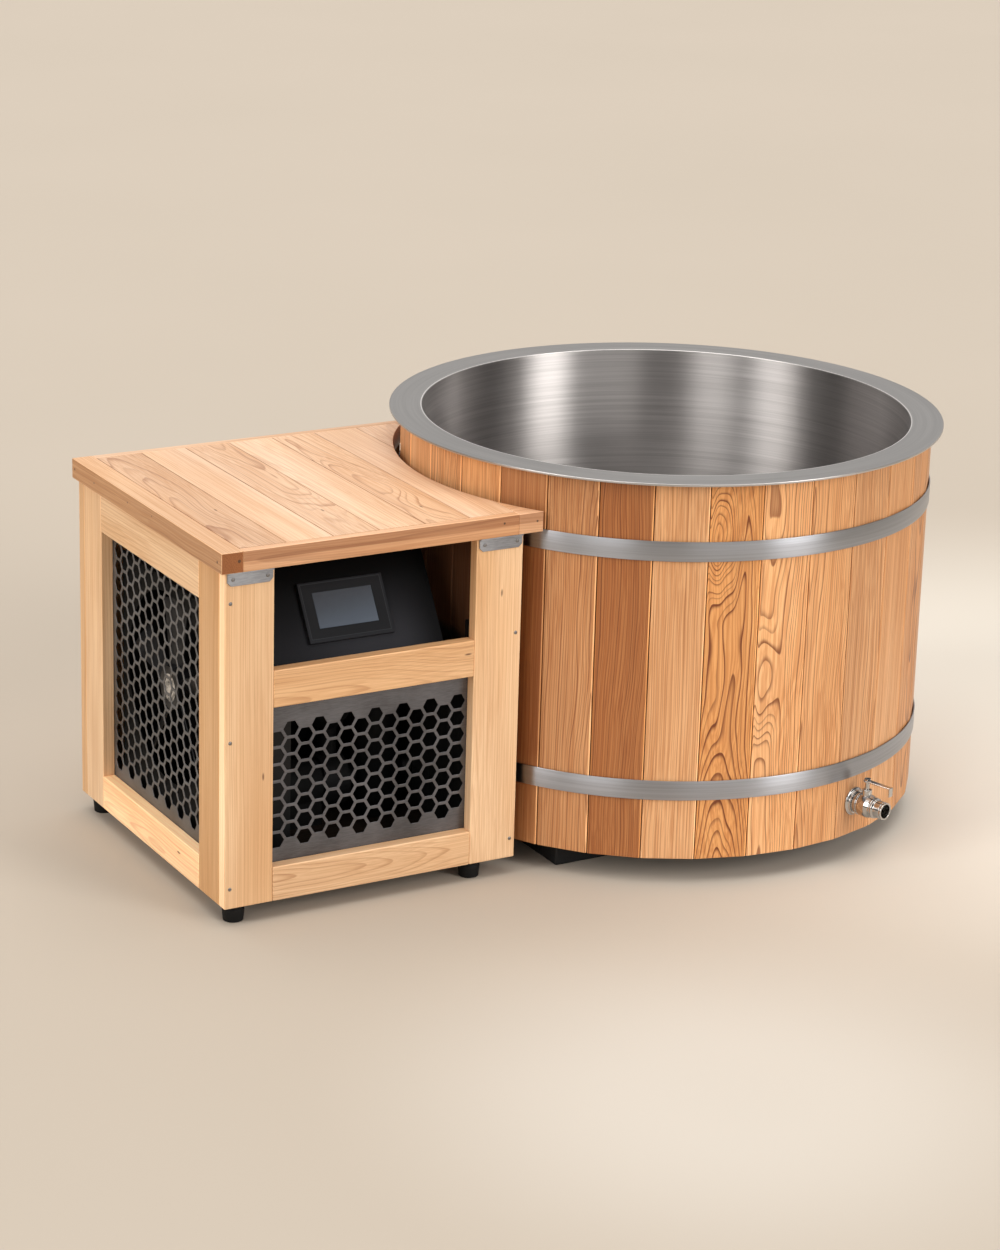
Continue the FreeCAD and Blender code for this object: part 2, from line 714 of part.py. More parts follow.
def boards(name, count, low, high, make):
    """Upright boards side by side between two places, with a narrow gap at each joint."""
    width = f"(({high}) - ({low})) / {count}"
    spans = []
    for index in range(int(size(count))):
        start = f"{low} + {index} * {width}"
        first = "0" if index == 0 else "cabinet_board_gap / 2"
        last = "0" if index == int(size(count)) - 1 else "cabinet_board_gap / 2"
        spans.append(make(f"{name}_{index}", (f"{start} + {first}", f"{start} + {width} - {last}")))
    return group(name, spans)


def make_panels():
    """Boards at the back and beside the barrel, the deck inside, and the feet."""
    tall = ("cabinet_bottom", "cabinet_top")
    rear = boards("rear_board_row", "rear_board_count", "cabinet_left", "rear_board_end",
                  lambda name, span: block(name, span, ("inside_back", "cabinet_back"), tall))
    inlet = inlet_block("rear_inlet_hole", "inlet_clearance",
                        ("inside_back - frame_stock", "cabinet_back + frame_stock"))
    part("rear_boards", cut("rear_boards", rear, inlet))
    inner = boards("inner_board_row", "inner_board_count", "inside_front", "inside_back",
                   lambda name, span: block(name, ("inside_right", "inner_board_face"), span, tall))
    holes = [rod(f"inner_board_hole_{index}", "water_pipe + wall_hole_clearance", "4 * inner_board_sheet",
                 "inside_right - inner_board_sheet", "0", height, ALONG_X)
             for index, height in enumerate(("water_axis_height", "return_height"))]
    part("inner_side_boards", cut("inner_side_boards", inner, *holes))
    part("cabinet_floor", block("cabinet_floor", ("inside_left", "inside_right"),
                                ("inside_front", "inside_back"), ("deck_top - deck_sheet", "deck_top")))
    feet = []
    for side, x in (("left", "cabinet_left + foot_inset"), ("right", "cabinet_right - right_foot_inset")):
        for end, y in (("front", "cabinet_front + foot_inset"), ("rear", "cabinet_back - foot_inset")):
            foot = doc.addObject("Part::Cone", f"{side}_{end}_foot")
            bind(foot, Radius1="foot_radius - foot_taper", Radius2="foot_radius", Height="cabinet_bottom")
            feet.append(place(foot, x, y))
    part("cabinet_feet", group("cabinet_feet", feet))


def hex_grille(label, across, upward, margin, rise):
    """Sheet with flat-topped hexagon holes in staggered columns, lying in the XY plane from its middle."""
    pitch, radius = size("hex_pitch"), size("hex_flats") / math.sqrt(3)
    step = pitch * math.sqrt(3) / 2
    count = int((size(f"{across} - 2 * hex_side_margin") - 2 * radius) / step) + 1
    deep = int(size(f"({upward} - 2 * {margin} - hex_flats) / hex_pitch + 1 / 2"))
    half_wide, half_tall = size(f"{across} / 2 + grille_lap"), size(f"{upward} / 2 + grille_lap")
    signs = ((-1, -1), (1, -1), (1, 1), (-1, 1), (-1, -1))
    wires = [Part.makePolygon([FreeCAD.Vector(x * half_wide, y * half_tall, 0) for x, y in signs])]
    angles = [math.radians(60 * corner) for corner in range(7)]
    for column in range(count):
        x = (column - (count - 1) / 2) * step
        stagger = (column % 2 - 1 / 2) / 2
        for row in range(deep):
            y = (row - (deep - 1) / 2 + stagger) * pitch + size(rise)
            corners = [FreeCAD.Vector(x + radius * math.cos(a), y + radius * math.sin(a), 0) for a in angles]
            wires.append(Part.makePolygon(corners))
    sheet_face = Part.makeFace(wires, "Part::FaceMakerBullseye")
    grille = doc.addObject("Part::Feature", label)
    grille.Shape = sheet_face.extrude(UP * size("grille_sheet"))
    return part(label, grille)


def make_grilles():
    """Perforated steel sheets fixed behind the front opening and the left opening."""
    front = hex_grille("front_grille", "(opening_right - opening_left)", "(middle_rail_low - opening_low)",
                       "front_hex_margin", "-front_hex_drop")
    front.Placement.Rotation = FreeCAD.Rotation(FreeCAD.Vector(1, 0, 0), 90)
    place(front, "(opening_left + opening_right) / 2", "inside_front + grille_sheet",
          "(opening_low + middle_rail_low) / 2")
    left = hex_grille("left_grille", "(side_back - side_front)", "(side_top - opening_low)",
                      "left_hex_margin", "left_hex_rise")
    left.Placement.Rotation = FreeCAD.Rotation(FreeCAD.Vector(1, 1, 1), 120)
    place(left, "inside_left", "(side_front + side_back) / 2", "(opening_low + side_top) / 2")


def make_top():
    """Plank top with edge rails and strips, cut to an arc that goes round the barrel."""
    rise = ("cabinet_top", "cabinet_top + top_sheet")
    gap = "cabinet_board_gap"

    def rounded(label, thing):
        arc = rod(label + "_arc", "top_cut_radius", "2 * top_sheet", z="cabinet_top - top_sheet / 2")
        return part(label, cut(label, thing, arc))

    part("top_left_rail", block("top_left_rail", ("top_left", "top_rail_in"), ("top_front", "top_back"),
                                rise))
    part("top_front_strip", block("top_front_strip", ("top_rail_in", "top_block_in"),
                                  ("top_front", "top_strip_in"), rise))
    rounded("top_right_block", block("right_block", ("top_block_in", "top_corner"), ("top_front", "0"), rise))
    rounded("top_rear_strip", block("rear_strip", ("top_rail_in", "top_horn"), ("top_rear_in", "top_back"),
                                    rise))
    count = int(size("top_plank_count"))
    width = "((top_block_in) - (top_rail_in)) / top_plank_count"
    extra = math.ceil((size("top_horn") - size("top_block_in")) / size(width))
    planks = []
    for index in range(count + extra):
        left = f"top_rail_in + {index} * {width}"
        right = "top_horn" if index == count + extra - 1 else f"{left} + {width} - {gap}"
        start = "top_strip_in" if index < count else "0"
        planks.append(block(f"top_plank_{index}", (left, right), (start, "top_rear_in"), rise))
    rounded("top_planks", group("plank_row", planks))
    make_brackets()


def make_brackets():
    """Angle brackets under the front corners of the top, and the screws that show."""
    brackets = []
    screws = []
    posts = {"left": "(cabinet_left + opening_left) / 2", "right": "(opening_right + cabinet_right) / 2"}
    half = "bracket_width / 2"
    for side, middle in posts.items():
        leg = padded_outline(f"{side}_bracket_leg", "XZ_Plane", [
            (f"-{half}", "0"), (f"-{half}", "bracket_corner - bracket_height"),
            (f"bracket_corner - {half}", "-bracket_height"), (f"{half} - bracket_corner", "-bracket_height"),
            (half, "bracket_corner - bracket_height"), (half, "0"),
        ], "bracket_sheet")
        place(leg, middle, "cabinet_front", "cabinet_top")
        shelf = block(f"{side}_bracket_shelf", (f"{middle} - {half}", f"{middle} + {half}"),
                      ("top_front", "cabinet_front"), ("cabinet_top - bracket_sheet", "cabinet_top"))
        brackets.append(fuse(f"{side}_bracket", leg, shelf))
        for end, sign in (("near", "-"), ("far", "+")):
            x = f"{middle} {sign} (bracket_width / 2 - screw_edge)"
            screws.append(rod(f"{side}_{end}_screw", "screw_radius", "screw_head", x,
                              "cabinet_front - bracket_sheet - screw_head",
                              "cabinet_top - bracket_height / 2", ALONG_Y))
    part("corner_brackets", group("corner_brackets", brackets))
    left_x, right_x = "cabinet_left + screw_edge", "cabinet_right - screw_edge"
    low = "cabinet_bottom + low_screw_rise"
    places = [
        (left_x, "cabinet_top - left_screw_drop"),
        (left_x, "cabinet_top - left_screw_drop - left_screw_spacing"),
        (left_x, low), (right_x, "cabinet_top - right_screw_drop"), (right_x, low),
    ]
    for index, (x, height) in enumerate(places):
        screws.append(rod(f"post_screw_{index}", "screw_radius", "screw_head", x,
                          "cabinet_front - screw_head", height, ALONG_Y))
    part("frame_screws", group("frame_screws", screws))


def make_controls():
    """Folded black panel that leans back behind the front opening, with a touch screen let into it.

    Its front lip runs on to an ear that is screwed to the back of the right stile.
    """
    over = "(panel_sheet / sin(panel_slope * 1deg))"
    left, right = "(inside_left + grille_sheet + panel_end_gap)", "(inside_right - panel_right_gap)"
    lip_in, lip_low = "inside_front + panel_sheet", "panel_lip_top - panel_lip"
    under = "cabinet_top - panel_sheet"
    fold = padded_outline("panel_fold", "YZ_Plane", [
        ("inside_front", lip_low), (lip_in, lip_low), (lip_in, f"panel_lip_top + panel_sheet - {over}"),
        (f"panel_head + {over} - panel_sheet / tan(panel_slope * 1deg)", under),
        ("panel_head + panel_flange", under), ("panel_head + panel_flange", "cabinet_top"),
        ("panel_head", "cabinet_top"), ("inside_front", "panel_lip_top"),
    ], f"{right} - {left}")
    place(fold, left)
    lip = ("inside_front", lip_in)
    ear_end = "opening_right + panel_ear_lap"
    tab = block("panel_tab", (right, ear_end), lip, (lip_low, "panel_lip_top"))
    ear = block("panel_ear", ("opening_right - panel_ear_show", ear_end), lip,
                (lip_low, "middle_rail_top + panel_ear_rise"))
    fold = fuse("panel_form", fold, tab, ear)
    lean = FreeCAD.Rotation(FreeCAD.Vector(1, 0, 0), size("panel_slope"))

    def on_panel(thing):
        thing.Placement.Rotation = lean
        return place(thing, "screen_x", "inside_front + screen_up_slope * cos(panel_slope * 1deg)",
                     "panel_lip_top + screen_up_slope * sin(panel_slope * 1deg)")

    def slab(name, width, height, low, high):
        across, upward = (f"-{width} / 2", f"{width} / 2"), (f"-{height} / 2", f"{height} / 2")
        return block(name, across, upward, (low, high))

    opening = slab("panel_cut", "(screen_body_width + 2 * screen_cut_clearance)",
                   "(screen_body_height + 2 * screen_cut_clearance)",
                   "-screen_body_depth", "screen_body_depth")
    part("control_panel", cut("control_panel", fold, on_panel(group("panel_cutter", [opening]))))
    bezel = slab("bezel_slab", "screen_width", "screen_height", "0", "screen_bezel")
    back = slab("screen_back", "screen_body_width", "screen_body_height", "-screen_body_depth", "0")
    window_low = "screen_bezel - display_recess"
    window = block("window_cut", ("-display_width / 2", "display_width / 2"),
                   ("display_rise - display_height / 2", "display_rise + display_height / 2"),
                   (window_low, "2 * screen_bezel"))
    part("screen_housing", on_panel(cut("screen_housing", fuse("screen_case", bezel, back), window)))
    glass = block("glass_slab", ("-display_width / 2", "display_width / 2"),
                  ("display_rise - display_height / 2", "display_rise + display_height / 2"),
                  (window_low, f"{window_low} + display_recess / 2"))
    part("screen_glass", on_panel(group("screen_glass", [glass])))


def make_fan():
    """Fan in a sheet shroud behind the left grille, with its motor and the condenser coil."""
    shell = block("shroud_shell", ("shroud_face", "shroud_back"), ("shroud_left", "shroud_right"),
                  ("deck_top", "shroud_top"))
    hollow = block("shroud_hollow", ("shroud_face + shroud_sheet", "shroud_back + shroud_sheet"),
                   ("shroud_left + shroud_sheet", "shroud_right - shroud_sheet"),
                   ("deck_top + shroud_sheet", "shroud_top - shroud_sheet"))
    mouth = rod("shroud_mouth", "fan_radius + fan_tip_clearance", "3 * shroud_sheet",
                "shroud_face - shroud_sheet", "fan_middle", "fan_height", ALONG_X)
    part("fan_shroud", cut("fan_shroud", shell, hollow, mouth))
    case = rod("motor_case", "fan_motor_radius", "fan_motor_length", "motor_face", "fan_middle", "fan_height",
               ALONG_X)
    strap = block("motor_strap", ("motor_back - fan_strap_sheet", "motor_back"),
                  ("fan_middle - fan_strap_width / 2", "fan_middle + fan_strap_width / 2"),
                  ("deck_top + shroud_sheet", "shroud_top - shroud_sheet"))
    bore = rod("motor_bore", "fan_shaft_radius + fan_shaft_clearance", "fan_shaft_length + fan_motor_gap",
               "motor_face - fan_motor_gap", "fan_middle", "fan_height", ALONG_X)
    part("fan_motor", cut("fan_motor", fuse("motor_set", case, strap), bore))
    hub = rod("fan_hub", "fan_hub_radius", "fan_depth", "fan_face", "fan_middle", "fan_height", ALONG_X)
    shaft = rod("fan_shaft", "fan_shaft_radius", "fan_depth / 2 + fan_shaft_length",
                "fan_face + fan_depth / 2", "fan_middle", "fan_height", ALONG_X)
    part("fan_blades", fuse("fan_blades", hub, shaft, make_blades()))
    coil_back = "(shroud_back + coil_depth)"
    ends = [block(f"coil_end_{index}", ("shroud_back", coil_back), span, ("deck_top", "shroud_top"))
            for index, span in enumerate((("shroud_left", "shroud_left + coil_plate"),
                                          ("shroud_right - coil_plate", "shroud_right")))]
    pack = block("coil_fins", ("shroud_back + coil_plate", f"{coil_back} - coil_plate"),
                 ("shroud_left + coil_plate", "shroud_right - coil_plate"),
                 ("deck_top + coil_plate", "shroud_top - coil_plate"))
    part("condenser_coil", fuse("condenser_coil", pack, *ends))


def make_blades():
    """Pitched flat blades with rounded tips, set round the hub."""
    hub = size("fan_hub_radius - fan_hub_overlap")
    count, pitch = int(size("fan_blade_count")), size("fan_blade_pitch")
    thick = size("fan_blade_sheet")
    half = size("fan_depth / 2 - fan_blade_sheet") / math.sin(math.radians(pitch))
    tip = size("fan_radius - fan_blade_tip_gap")
    root_half = size("fan_blade_root") / 2
    middle = FreeCAD.Vector(size("fan_face + fan_depth / 2"), size("fan_middle"), size("fan_height"))
    side = math.sqrt(tip ** 2 - half ** 2)
    root = [FreeCAD.Vector(0, y, hub) for y in (-root_half, root_half)]
    ends = [FreeCAD.Vector(0, half, side), FreeCAD.Vector(0, -half, side)]
    edges = [Part.makeLine(root[0], root[1]), Part.makeLine(root[1], ends[0]),
             Part.Arc(ends[0], FreeCAD.Vector(0, 0, tip), ends[1]).toShape(), Part.makeLine(ends[1], root[0])]
    blade = Part.Face(Part.Wire(edges)).extrude(FreeCAD.Vector(thick, 0, 0))
    blade.translate(FreeCAD.Vector(-thick / 2, 0, 0))
    blade.rotate(ORIGIN, UP, pitch)
    blades = []
    for index in range(count):
        turned_blade = blade.copy()
        turned_blade.rotate(ORIGIN, FreeCAD.Vector(1, 0, 0), 360 / count * index)
        turned_blade.translate(middle)
        blades.append(turned_blade)
    feature = doc.addObject("Part::Feature", "fan_blade_set")
    feature.Shape = Part.Compound(blades)
    return feature


def make_chiller():
    """Compressor on the deck and the heat exchanger on the pump's riser."""
    low = "(deck_top + compressor_foot)"
    top = f"({low} + compressor_height)"
    can = turned("compressor_can", [
        ("0", low), ("compressor_radius", low), ("compressor_radius", f"{top} - compressor_dome"),
        ("compressor_crown", top), ("0", top),
    ])
    place(can, "compressor_x", "compressor_y")
    plate = block("compressor_plate",
                  ("compressor_x - compressor_foot_reach", "compressor_x + compressor_foot_reach"),
                  ("compressor_y - compressor_radius", "compressor_y + compressor_radius"), ("deck_top", low))
    part("compressor", fuse("compressor", can, plate))
    high = "(exchanger_low + exchanger_length)"
    shell = turned("exchanger_shell", [
        ("water_pipe", "exchanger_low"), ("exchanger_neck", "exchanger_low"),
        ("exchanger_radius", "exchanger_low + exchanger_neck"),
        ("exchanger_radius", f"{high} - exchanger_neck"), ("exchanger_neck", high), ("water_pipe", high),
    ])
    part("heat_exchanger", place(shell, "pump_x"))


def make_water():
    """Wall fittings, filter, pump and pipes, in line with the tub's middle."""
    seat = "(sqrt(liner_radius ^ 2 - wall_flange ^ 2) - seat_clearance)"
    fittings = []
    for name, height in (("suction", "water_axis_height"), ("return", "return_height")):
        fitting = turned(name + "_fitting", [
            (f"-{seat} + drain_flange_sheet", "water_bore"), (f"-{seat} + drain_flange_sheet", "wall_flange"),
            (f"-{seat}", "wall_flange"), (f"-{seat}", "water_pipe"), ("wall_pipe_end", "water_pipe"),
            ("wall_pipe_end", "water_bore"),
        ], "H_Axis")
        fittings.append(place(fitting, z=height))
    part("wall_fittings", group("wall_fittings", fittings))
    make_filter()
    make_pump()
    riser_low = "(water_axis_height + pump_radius)"
    riser = rod("riser_pipe", "water_pipe", f"return_height - {riser_low}", "pump_x", "0", riser_low)
    branch = rod("return_pipe", "water_pipe", "wall_pipe_end - pump_x", "pump_x", "0", "return_height",
                 ALONG_X)
    elbow = rod("return_elbow", "elbow_radius", "2 * elbow_radius", "pump_x",
                z="return_height - elbow_radius")
    link = rod("filter_link_pipe", "water_pipe", "filter_link", "pump_face", "0", "water_axis_height",
               ALONG_X)
    part("water_pipes", group("water_pipes", [fuse("riser", riser, branch, elbow), link]))


def make_filter():
    """Canister filter that stands on the deck, with a lid and a pleated cartridge inside."""
    top = "(deck_top + filter_height)"
    bowl = turned("filter_bowl_can", [
        ("0", "deck_top"), ("filter_radius", "deck_top"), ("filter_radius", top), ("filter_in", top),
        ("filter_in", "deck_top + filter_wall"), ("0", "deck_top + filter_wall"),
    ])
    place(bowl, "filter_x")
    stub = rod("filter_stub_pipe", "water_pipe", "wall_pipe_end - filter_x - filter_in",
               "filter_x + filter_in", "0", "water_axis_height", ALONG_X)
    stub_bore = rod("filter_stub_bore", "water_bore", "wall_pipe_end - filter_x", "filter_x", "0",
                    "water_axis_height", ALONG_X)
    can = cut("filter_bowl", fuse("filter_can", bowl, stub), stub_bore)
    lid = turned("filter_lid", [
        ("0", top), ("filter_radius + filter_cap_lip", top),
        ("filter_radius + filter_cap_lip", f"{top} + filter_cap"), ("0", f"{top} + filter_cap"),
    ])
    part("filter_housing", group("filter_housing", [can, place(lid, "filter_x")]))
    low = "(deck_top + filter_wall)"
    core = ring("filter_cartridge", "cartridge_bore", "filter_in - cartridge_gap", low, top)
    part("filter_cartridge", place(core, "filter_x"))


def make_pump():
    """Centrifugal pump: volute with an impeller inside, and a motor on a foot behind it."""
    shaft_hole = "(pump_shaft_radius + pump_shaft_clearance)"
    face, back = "pump_face - pump_wall", "pump_back + pump_wall"
    casing = turned("pump_casing", [
        ("pump_face", "water_bore"), ("pump_face", "pump_radius"), ("pump_back", "pump_radius"),
        ("pump_back", shaft_hole), (back, shaft_hole), (back, "pump_in"), (face, "pump_in"),
        (face, "water_bore"),
    ], "H_Axis")
    part("pump_casing", place(casing, z="water_axis_height"))
    end = "(pump_back - pump_motor_length)"
    tail, rear, nose = f"{end} + pump_wall", f"{back} + impeller_gap", f"{face} - impeller_gap"
    rotor = turned("pump_rotor", [
        (tail, "0"), (tail, "pump_shaft_radius"), (rear, "pump_shaft_radius"),
        (rear, "pump_in - impeller_gap"),
        (nose, "water_bore"), (nose, "0"),
    ], "H_Axis")
    part("pump_rotor", place(rotor, z="water_axis_height"))
    motor = rod("pump_motor_case", "pump_motor_radius", "pump_motor_length", end, "0", "water_axis_height",
                ALONG_X)
    foot = block("pump_motor_foot", (end, "pump_back"), ("-pump_foot_width / 2", "pump_foot_width / 2"),
                 ("deck_top", "water_axis_height"))
    bore = rod("pump_motor_bore", shaft_hole, "pump_motor_length", f"{tail} - impeller_gap", "0",
               "water_axis_height", ALONG_X)
    part("pump_motor", cut("pump_motor", fuse("pump_motor_set", motor, foot), bore))


def inlet_block(name, grow, depth):
    """A box round the power inlet's throat, grown on each side by an amount."""
    across, upward = f"(inlet_width / 2 + {grow})", f"(inlet_rise / 2 + {grow})"
    return block(name, (f"inlet_x - {across}", f"inlet_x + {across}"), depth,
                 (f"inlet_height - {upward}", f"inlet_height + {upward}"))


def make_electrics():
    """Power inlet let into the rear boards."""
    flange = inlet_block("inlet_plate", "inlet_flange", ("cabinet_back", "cabinet_back + inlet_flange_sheet"))
    throat = inlet_block("inlet_throat", "0", ("inside_back", "cabinet_back"))
    well = inlet_block("inlet_well_cut", "(-inlet_wall)",
                       ("cabinet_back - inlet_well", "cabinet_back + 2 * inlet_flange_sheet"))
    part("power_inlet", cut("power_inlet", fuse("inlet_body", flange, throat), well))


make_liner()
make_barrel()
make_skid()
make_drain()
make_frame()
make_panels()
make_grilles()
make_top()
make_controls()
make_fan()
make_chiller()
make_water()
make_electrics()

doc.recompute()
for thing in doc.Objects:
    if "Invalid" in thing.State or "Error" in thing.State:
        raise RuntimeError(f"{thing.Name} failed: {thing.State}")
for thing in parts:
    if thing.Shape.isNull() or not thing.Shape.isValid() or not thing.Shape.Solids:
        raise RuntimeError(f"{thing.Label} has no valid solid")
os.makedirs("parts", exist_ok=True)
for thing in parts:
    thing.Shape.exportStep(f"parts/{thing.Label}.step")
print(len(parts), "sub-parts")
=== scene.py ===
import math
import random

import bmesh
import bpy
from mathutils import Euler, Matrix, Vector


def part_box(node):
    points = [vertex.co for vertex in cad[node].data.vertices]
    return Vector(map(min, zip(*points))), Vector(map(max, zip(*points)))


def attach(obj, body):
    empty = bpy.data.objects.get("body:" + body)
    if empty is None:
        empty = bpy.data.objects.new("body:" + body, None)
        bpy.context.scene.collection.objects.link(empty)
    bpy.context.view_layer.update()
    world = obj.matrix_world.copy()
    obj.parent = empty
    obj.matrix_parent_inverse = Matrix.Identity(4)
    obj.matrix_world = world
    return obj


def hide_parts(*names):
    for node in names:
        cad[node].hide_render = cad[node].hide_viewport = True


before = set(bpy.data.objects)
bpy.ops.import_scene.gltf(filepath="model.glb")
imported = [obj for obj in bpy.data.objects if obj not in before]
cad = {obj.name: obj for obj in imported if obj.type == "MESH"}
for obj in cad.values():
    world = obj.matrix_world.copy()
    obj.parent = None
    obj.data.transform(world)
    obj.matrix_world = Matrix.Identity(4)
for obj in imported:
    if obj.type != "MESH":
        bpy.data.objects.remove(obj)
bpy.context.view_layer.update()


# Skid under the barrel
# Two long beams and three cross beams of sawn timber, screwed together, with broken edges.
# They are painted matt black and carry the floor boards.
class Shade:
    """A socket of a material's or a shape's node tree; sums on it add Math nodes."""

    def __init__(self, tree, socket=None):
        self.tree = tree
        self.socket = socket

    def node(self, kind, settings, inputs, output=0):
        """Any node: its settings first, then the values or links of its sockets."""
        made = self.tree.nodes.new(kind)
        for name, value in settings.items():
            setattr(made, name, value)
        for key, value in inputs.items():
            if isinstance(value, Shade):
                self.tree.links.new(value.socket, made.inputs[key])
            elif made.inputs[key].type == "RGBA":
                made.inputs[key].default_value = (*value[:3], 1)
            else:
                made.inputs[key].default_value = value
        return Shade(self.tree, made.outputs[output])

    def sum(self, operation, *terms):
        """A Math node, or a Vector Math node where a term is a vector or a colour."""
        kinds = {term.socket.type for term in terms if isinstance(term, Shade)}
        if kinds.isdisjoint(("VECTOR", "RGBA")) and not any(isinstance(term, tuple) for term in terms):
            return self.node("ShaderNodeMath", {"operation": operation}, dict(enumerate(terms)))
        spread = [(term,) * 3 if isinstance(term, (int, float)) else term for term in terms]
        return self.node("ShaderNodeVectorMath", {"operation": operation}, dict(enumerate(spread)))

    def __add__(self, other):
        return self.sum("ADD", self, other)

    def __sub__(self, other):
        return self.sum("SUBTRACT", self, other)

    def __rsub__(self, other):
        return self.sum("SUBTRACT", other, self)

    def __mul__(self, other):
        return self.sum("MULTIPLY", self, other)

    __rmul__ = __mul__

    def __truediv__(self, other):
        return self.sum("DIVIDE", self, other)

    def __rtruediv__(self, other):
        return self.sum("DIVIDE", other, self)

    def __pow__(self, other):
        return self.sum("POWER", self, other)

    def parts(self):
        """The three values of a vector."""
        split = self.node("ShaderNodeSeparateXYZ", {}, {0: self})
        return [Shade(self.tree, socket) for socket in split.socket.node.outputs]

    def between(self, low, high, blend="MIX"):
        """A colour mixed from two by this factor."""
        factor, first, second, mixed = 0, 6, 7, 2
        return self.node("ShaderNodeMix", {"data_type": "RGBA", "blend_type": blend},
                         {factor: self, first: low, second: high}, mixed)

    def stepped(self, low, high, start=0.0, end=1.0):
        """This value brought from one span to another, smoothly and held at its ends."""
        return self.node("ShaderNodeMapRange", {"interpolation_type": "SMOOTHSTEP"},
                         {"Value": self, "From Min": low, "From Max": high, "To Min": start, "To Max": end})

    def noise(self, spread, detail=2.0, output=0):
        """Noise on this vector, stretched by a number of waves per metre on each axis."""
        return self.node("ShaderNodeTexNoise", {},
                         {"Vector": self * spread, "Scale": 1.0, "Detail": detail}, output)

    def far_from(self, spot):
        """How far this place is from a spot, in metres."""
        return self.node("ShaderNodeVectorMath", {"operation": "DISTANCE"}, {0: self, 1: spot}, "Value")

    def bumped(self, depth, strength=1.0):
        """A normal bent by this height, at a depth in metres."""
        return self.node("ShaderNodeBump", {}, {"Strength": strength, "Distance": depth, "Height": self})

    def feed(self, links):
        """Link values to the material's own shader."""
        shader = self.tree.nodes["Principled BSDF"]
        for name, value in links.items():
            self.tree.links.new(value.socket, shader.inputs[name])


def finish(name, **steady):
    """A new material with the sockets that stay the same all over, and its tree to work in."""
    material = bpy.data.materials.new(name)
    material.use_nodes = True
    tree = material.node_tree
    for key, value in steady.items():
        tree.nodes["Principled BSDF"].inputs[key.replace("_", " ")].default_value = value
    return material, Shade(tree)


def place_of(paint):
    """Where a point of the piece is, in metres."""
    return paint.node("ShaderNodeTexCoord", {}, {}, "Object")


def toned(colour, share):
    """A colour made lighter or darker by a share."""
    return tuple(share * part for part in colour)


def speckled(name, colour, rough, grain=900.0, depth=0.00006, **steady):
    """Painted or moulded finish with a fine orange-peel grain and faint wear in its gloss."""
    material, paint = finish(name, **steady)
    place = place_of(paint)
    fine = place.noise((grain,) * 3)
    worn = place.noise((14, 14, 14), 4.0)
    paint.feed({
        "Base Color": worn.between(toned(colour, 0.75), toned(colour, 1.3)),
        "Roughness": worn.stepped(0.3, 0.7, rough - 0.06, rough + 0.08) + fine * 0.04,
        "Normal": fine.bumped(depth),
    })
    return material


def eased(node, width):
    """A merged copy of a CAD node with its sharp edges rounded over by a width."""
    merge_distance = 1e-5
    same_plane, round_face, sharp_edge = 0.01, 0.012, 0.5
    copy = bmesh.new()
    copy.from_mesh(cad[node].data)
    bmesh.ops.remove_doubles(copy, verts=copy.verts, dist=merge_distance)
    bmesh.ops.dissolve_limit(copy, angle_limit=same_plane, verts=copy.verts, edges=copy.edges)
    sharp = [edge for edge in copy.edges
             if len(edge.link_faces) == 2 and edge.calc_face_angle() > sharp_edge]
    for face in copy.faces:
        face.smooth = any(round_face < edge.calc_face_angle(0) < sharp_edge for edge in face.edges)
    made = bmesh.ops.bevel(copy, geom=sharp, offset=width, offset_type="OFFSET", segments=2, profile=0.5,
                           affect="EDGES", clamp_overlap=True)
    for face in made["faces"]:
        face.smooth = True
    return copy


def piece(name, shape, material, slot, *replaced, body="tub"):
    """A finished mesh as a piece of the object that stands for some CAD nodes."""
    if isinstance(shape, bmesh.types.BMesh):
        mesh = bpy.data.meshes.new(name)
        shape.to_mesh(mesh)
        shape.free()
    else:
        mesh = shape
        mesh.name = name
    mesh.materials.clear()
    mesh.materials.append(material)
    made = bpy.data.objects.new(name, mesh)
    bpy.context.scene.collection.objects.link(made)
    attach(made, body)
    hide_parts(*replaced)


beam_ease = 0.003
black_paint = speckled("black_skid_paint", (0.010, 0.010, 0.0105), 0.60, 320.0, 0.00025,
                       Specular_IOR_Level=0.3)
for beams in ("base_long_beams", "base_cross_beams"):
    piece(beams + "_painted", eased(beams, beam_ease), black_paint, "black_skid", beams)


# Liner of the tub
# Rolled wall and flat floor of stainless sheet with a wide flat rim, welded together.
# The wall and rim are brushed round the tub, and the rim's outer edge is folded down.
def rounded(points, radius, steps=4):
    """A closed outline with each corner replaced by an arc of a radius."""
    longest_share = 0.45
    result = []
    for index, corner in enumerate(points):
        before, after = Vector(points[index - 1]), Vector(points[(index + 1) % len(points)])
        corner = Vector(corner)
        into, out = before - corner, after - corner
        reach = min(radius, longest_share * into.length, longest_share * out.length)
        start, end = corner + into.normalized() * reach, corner + out.normalized() * reach
        for step in range(steps + 1):
            share = step / steps
            result.append(start.lerp(corner, share).lerp(corner.lerp(end, share), share))
    return result


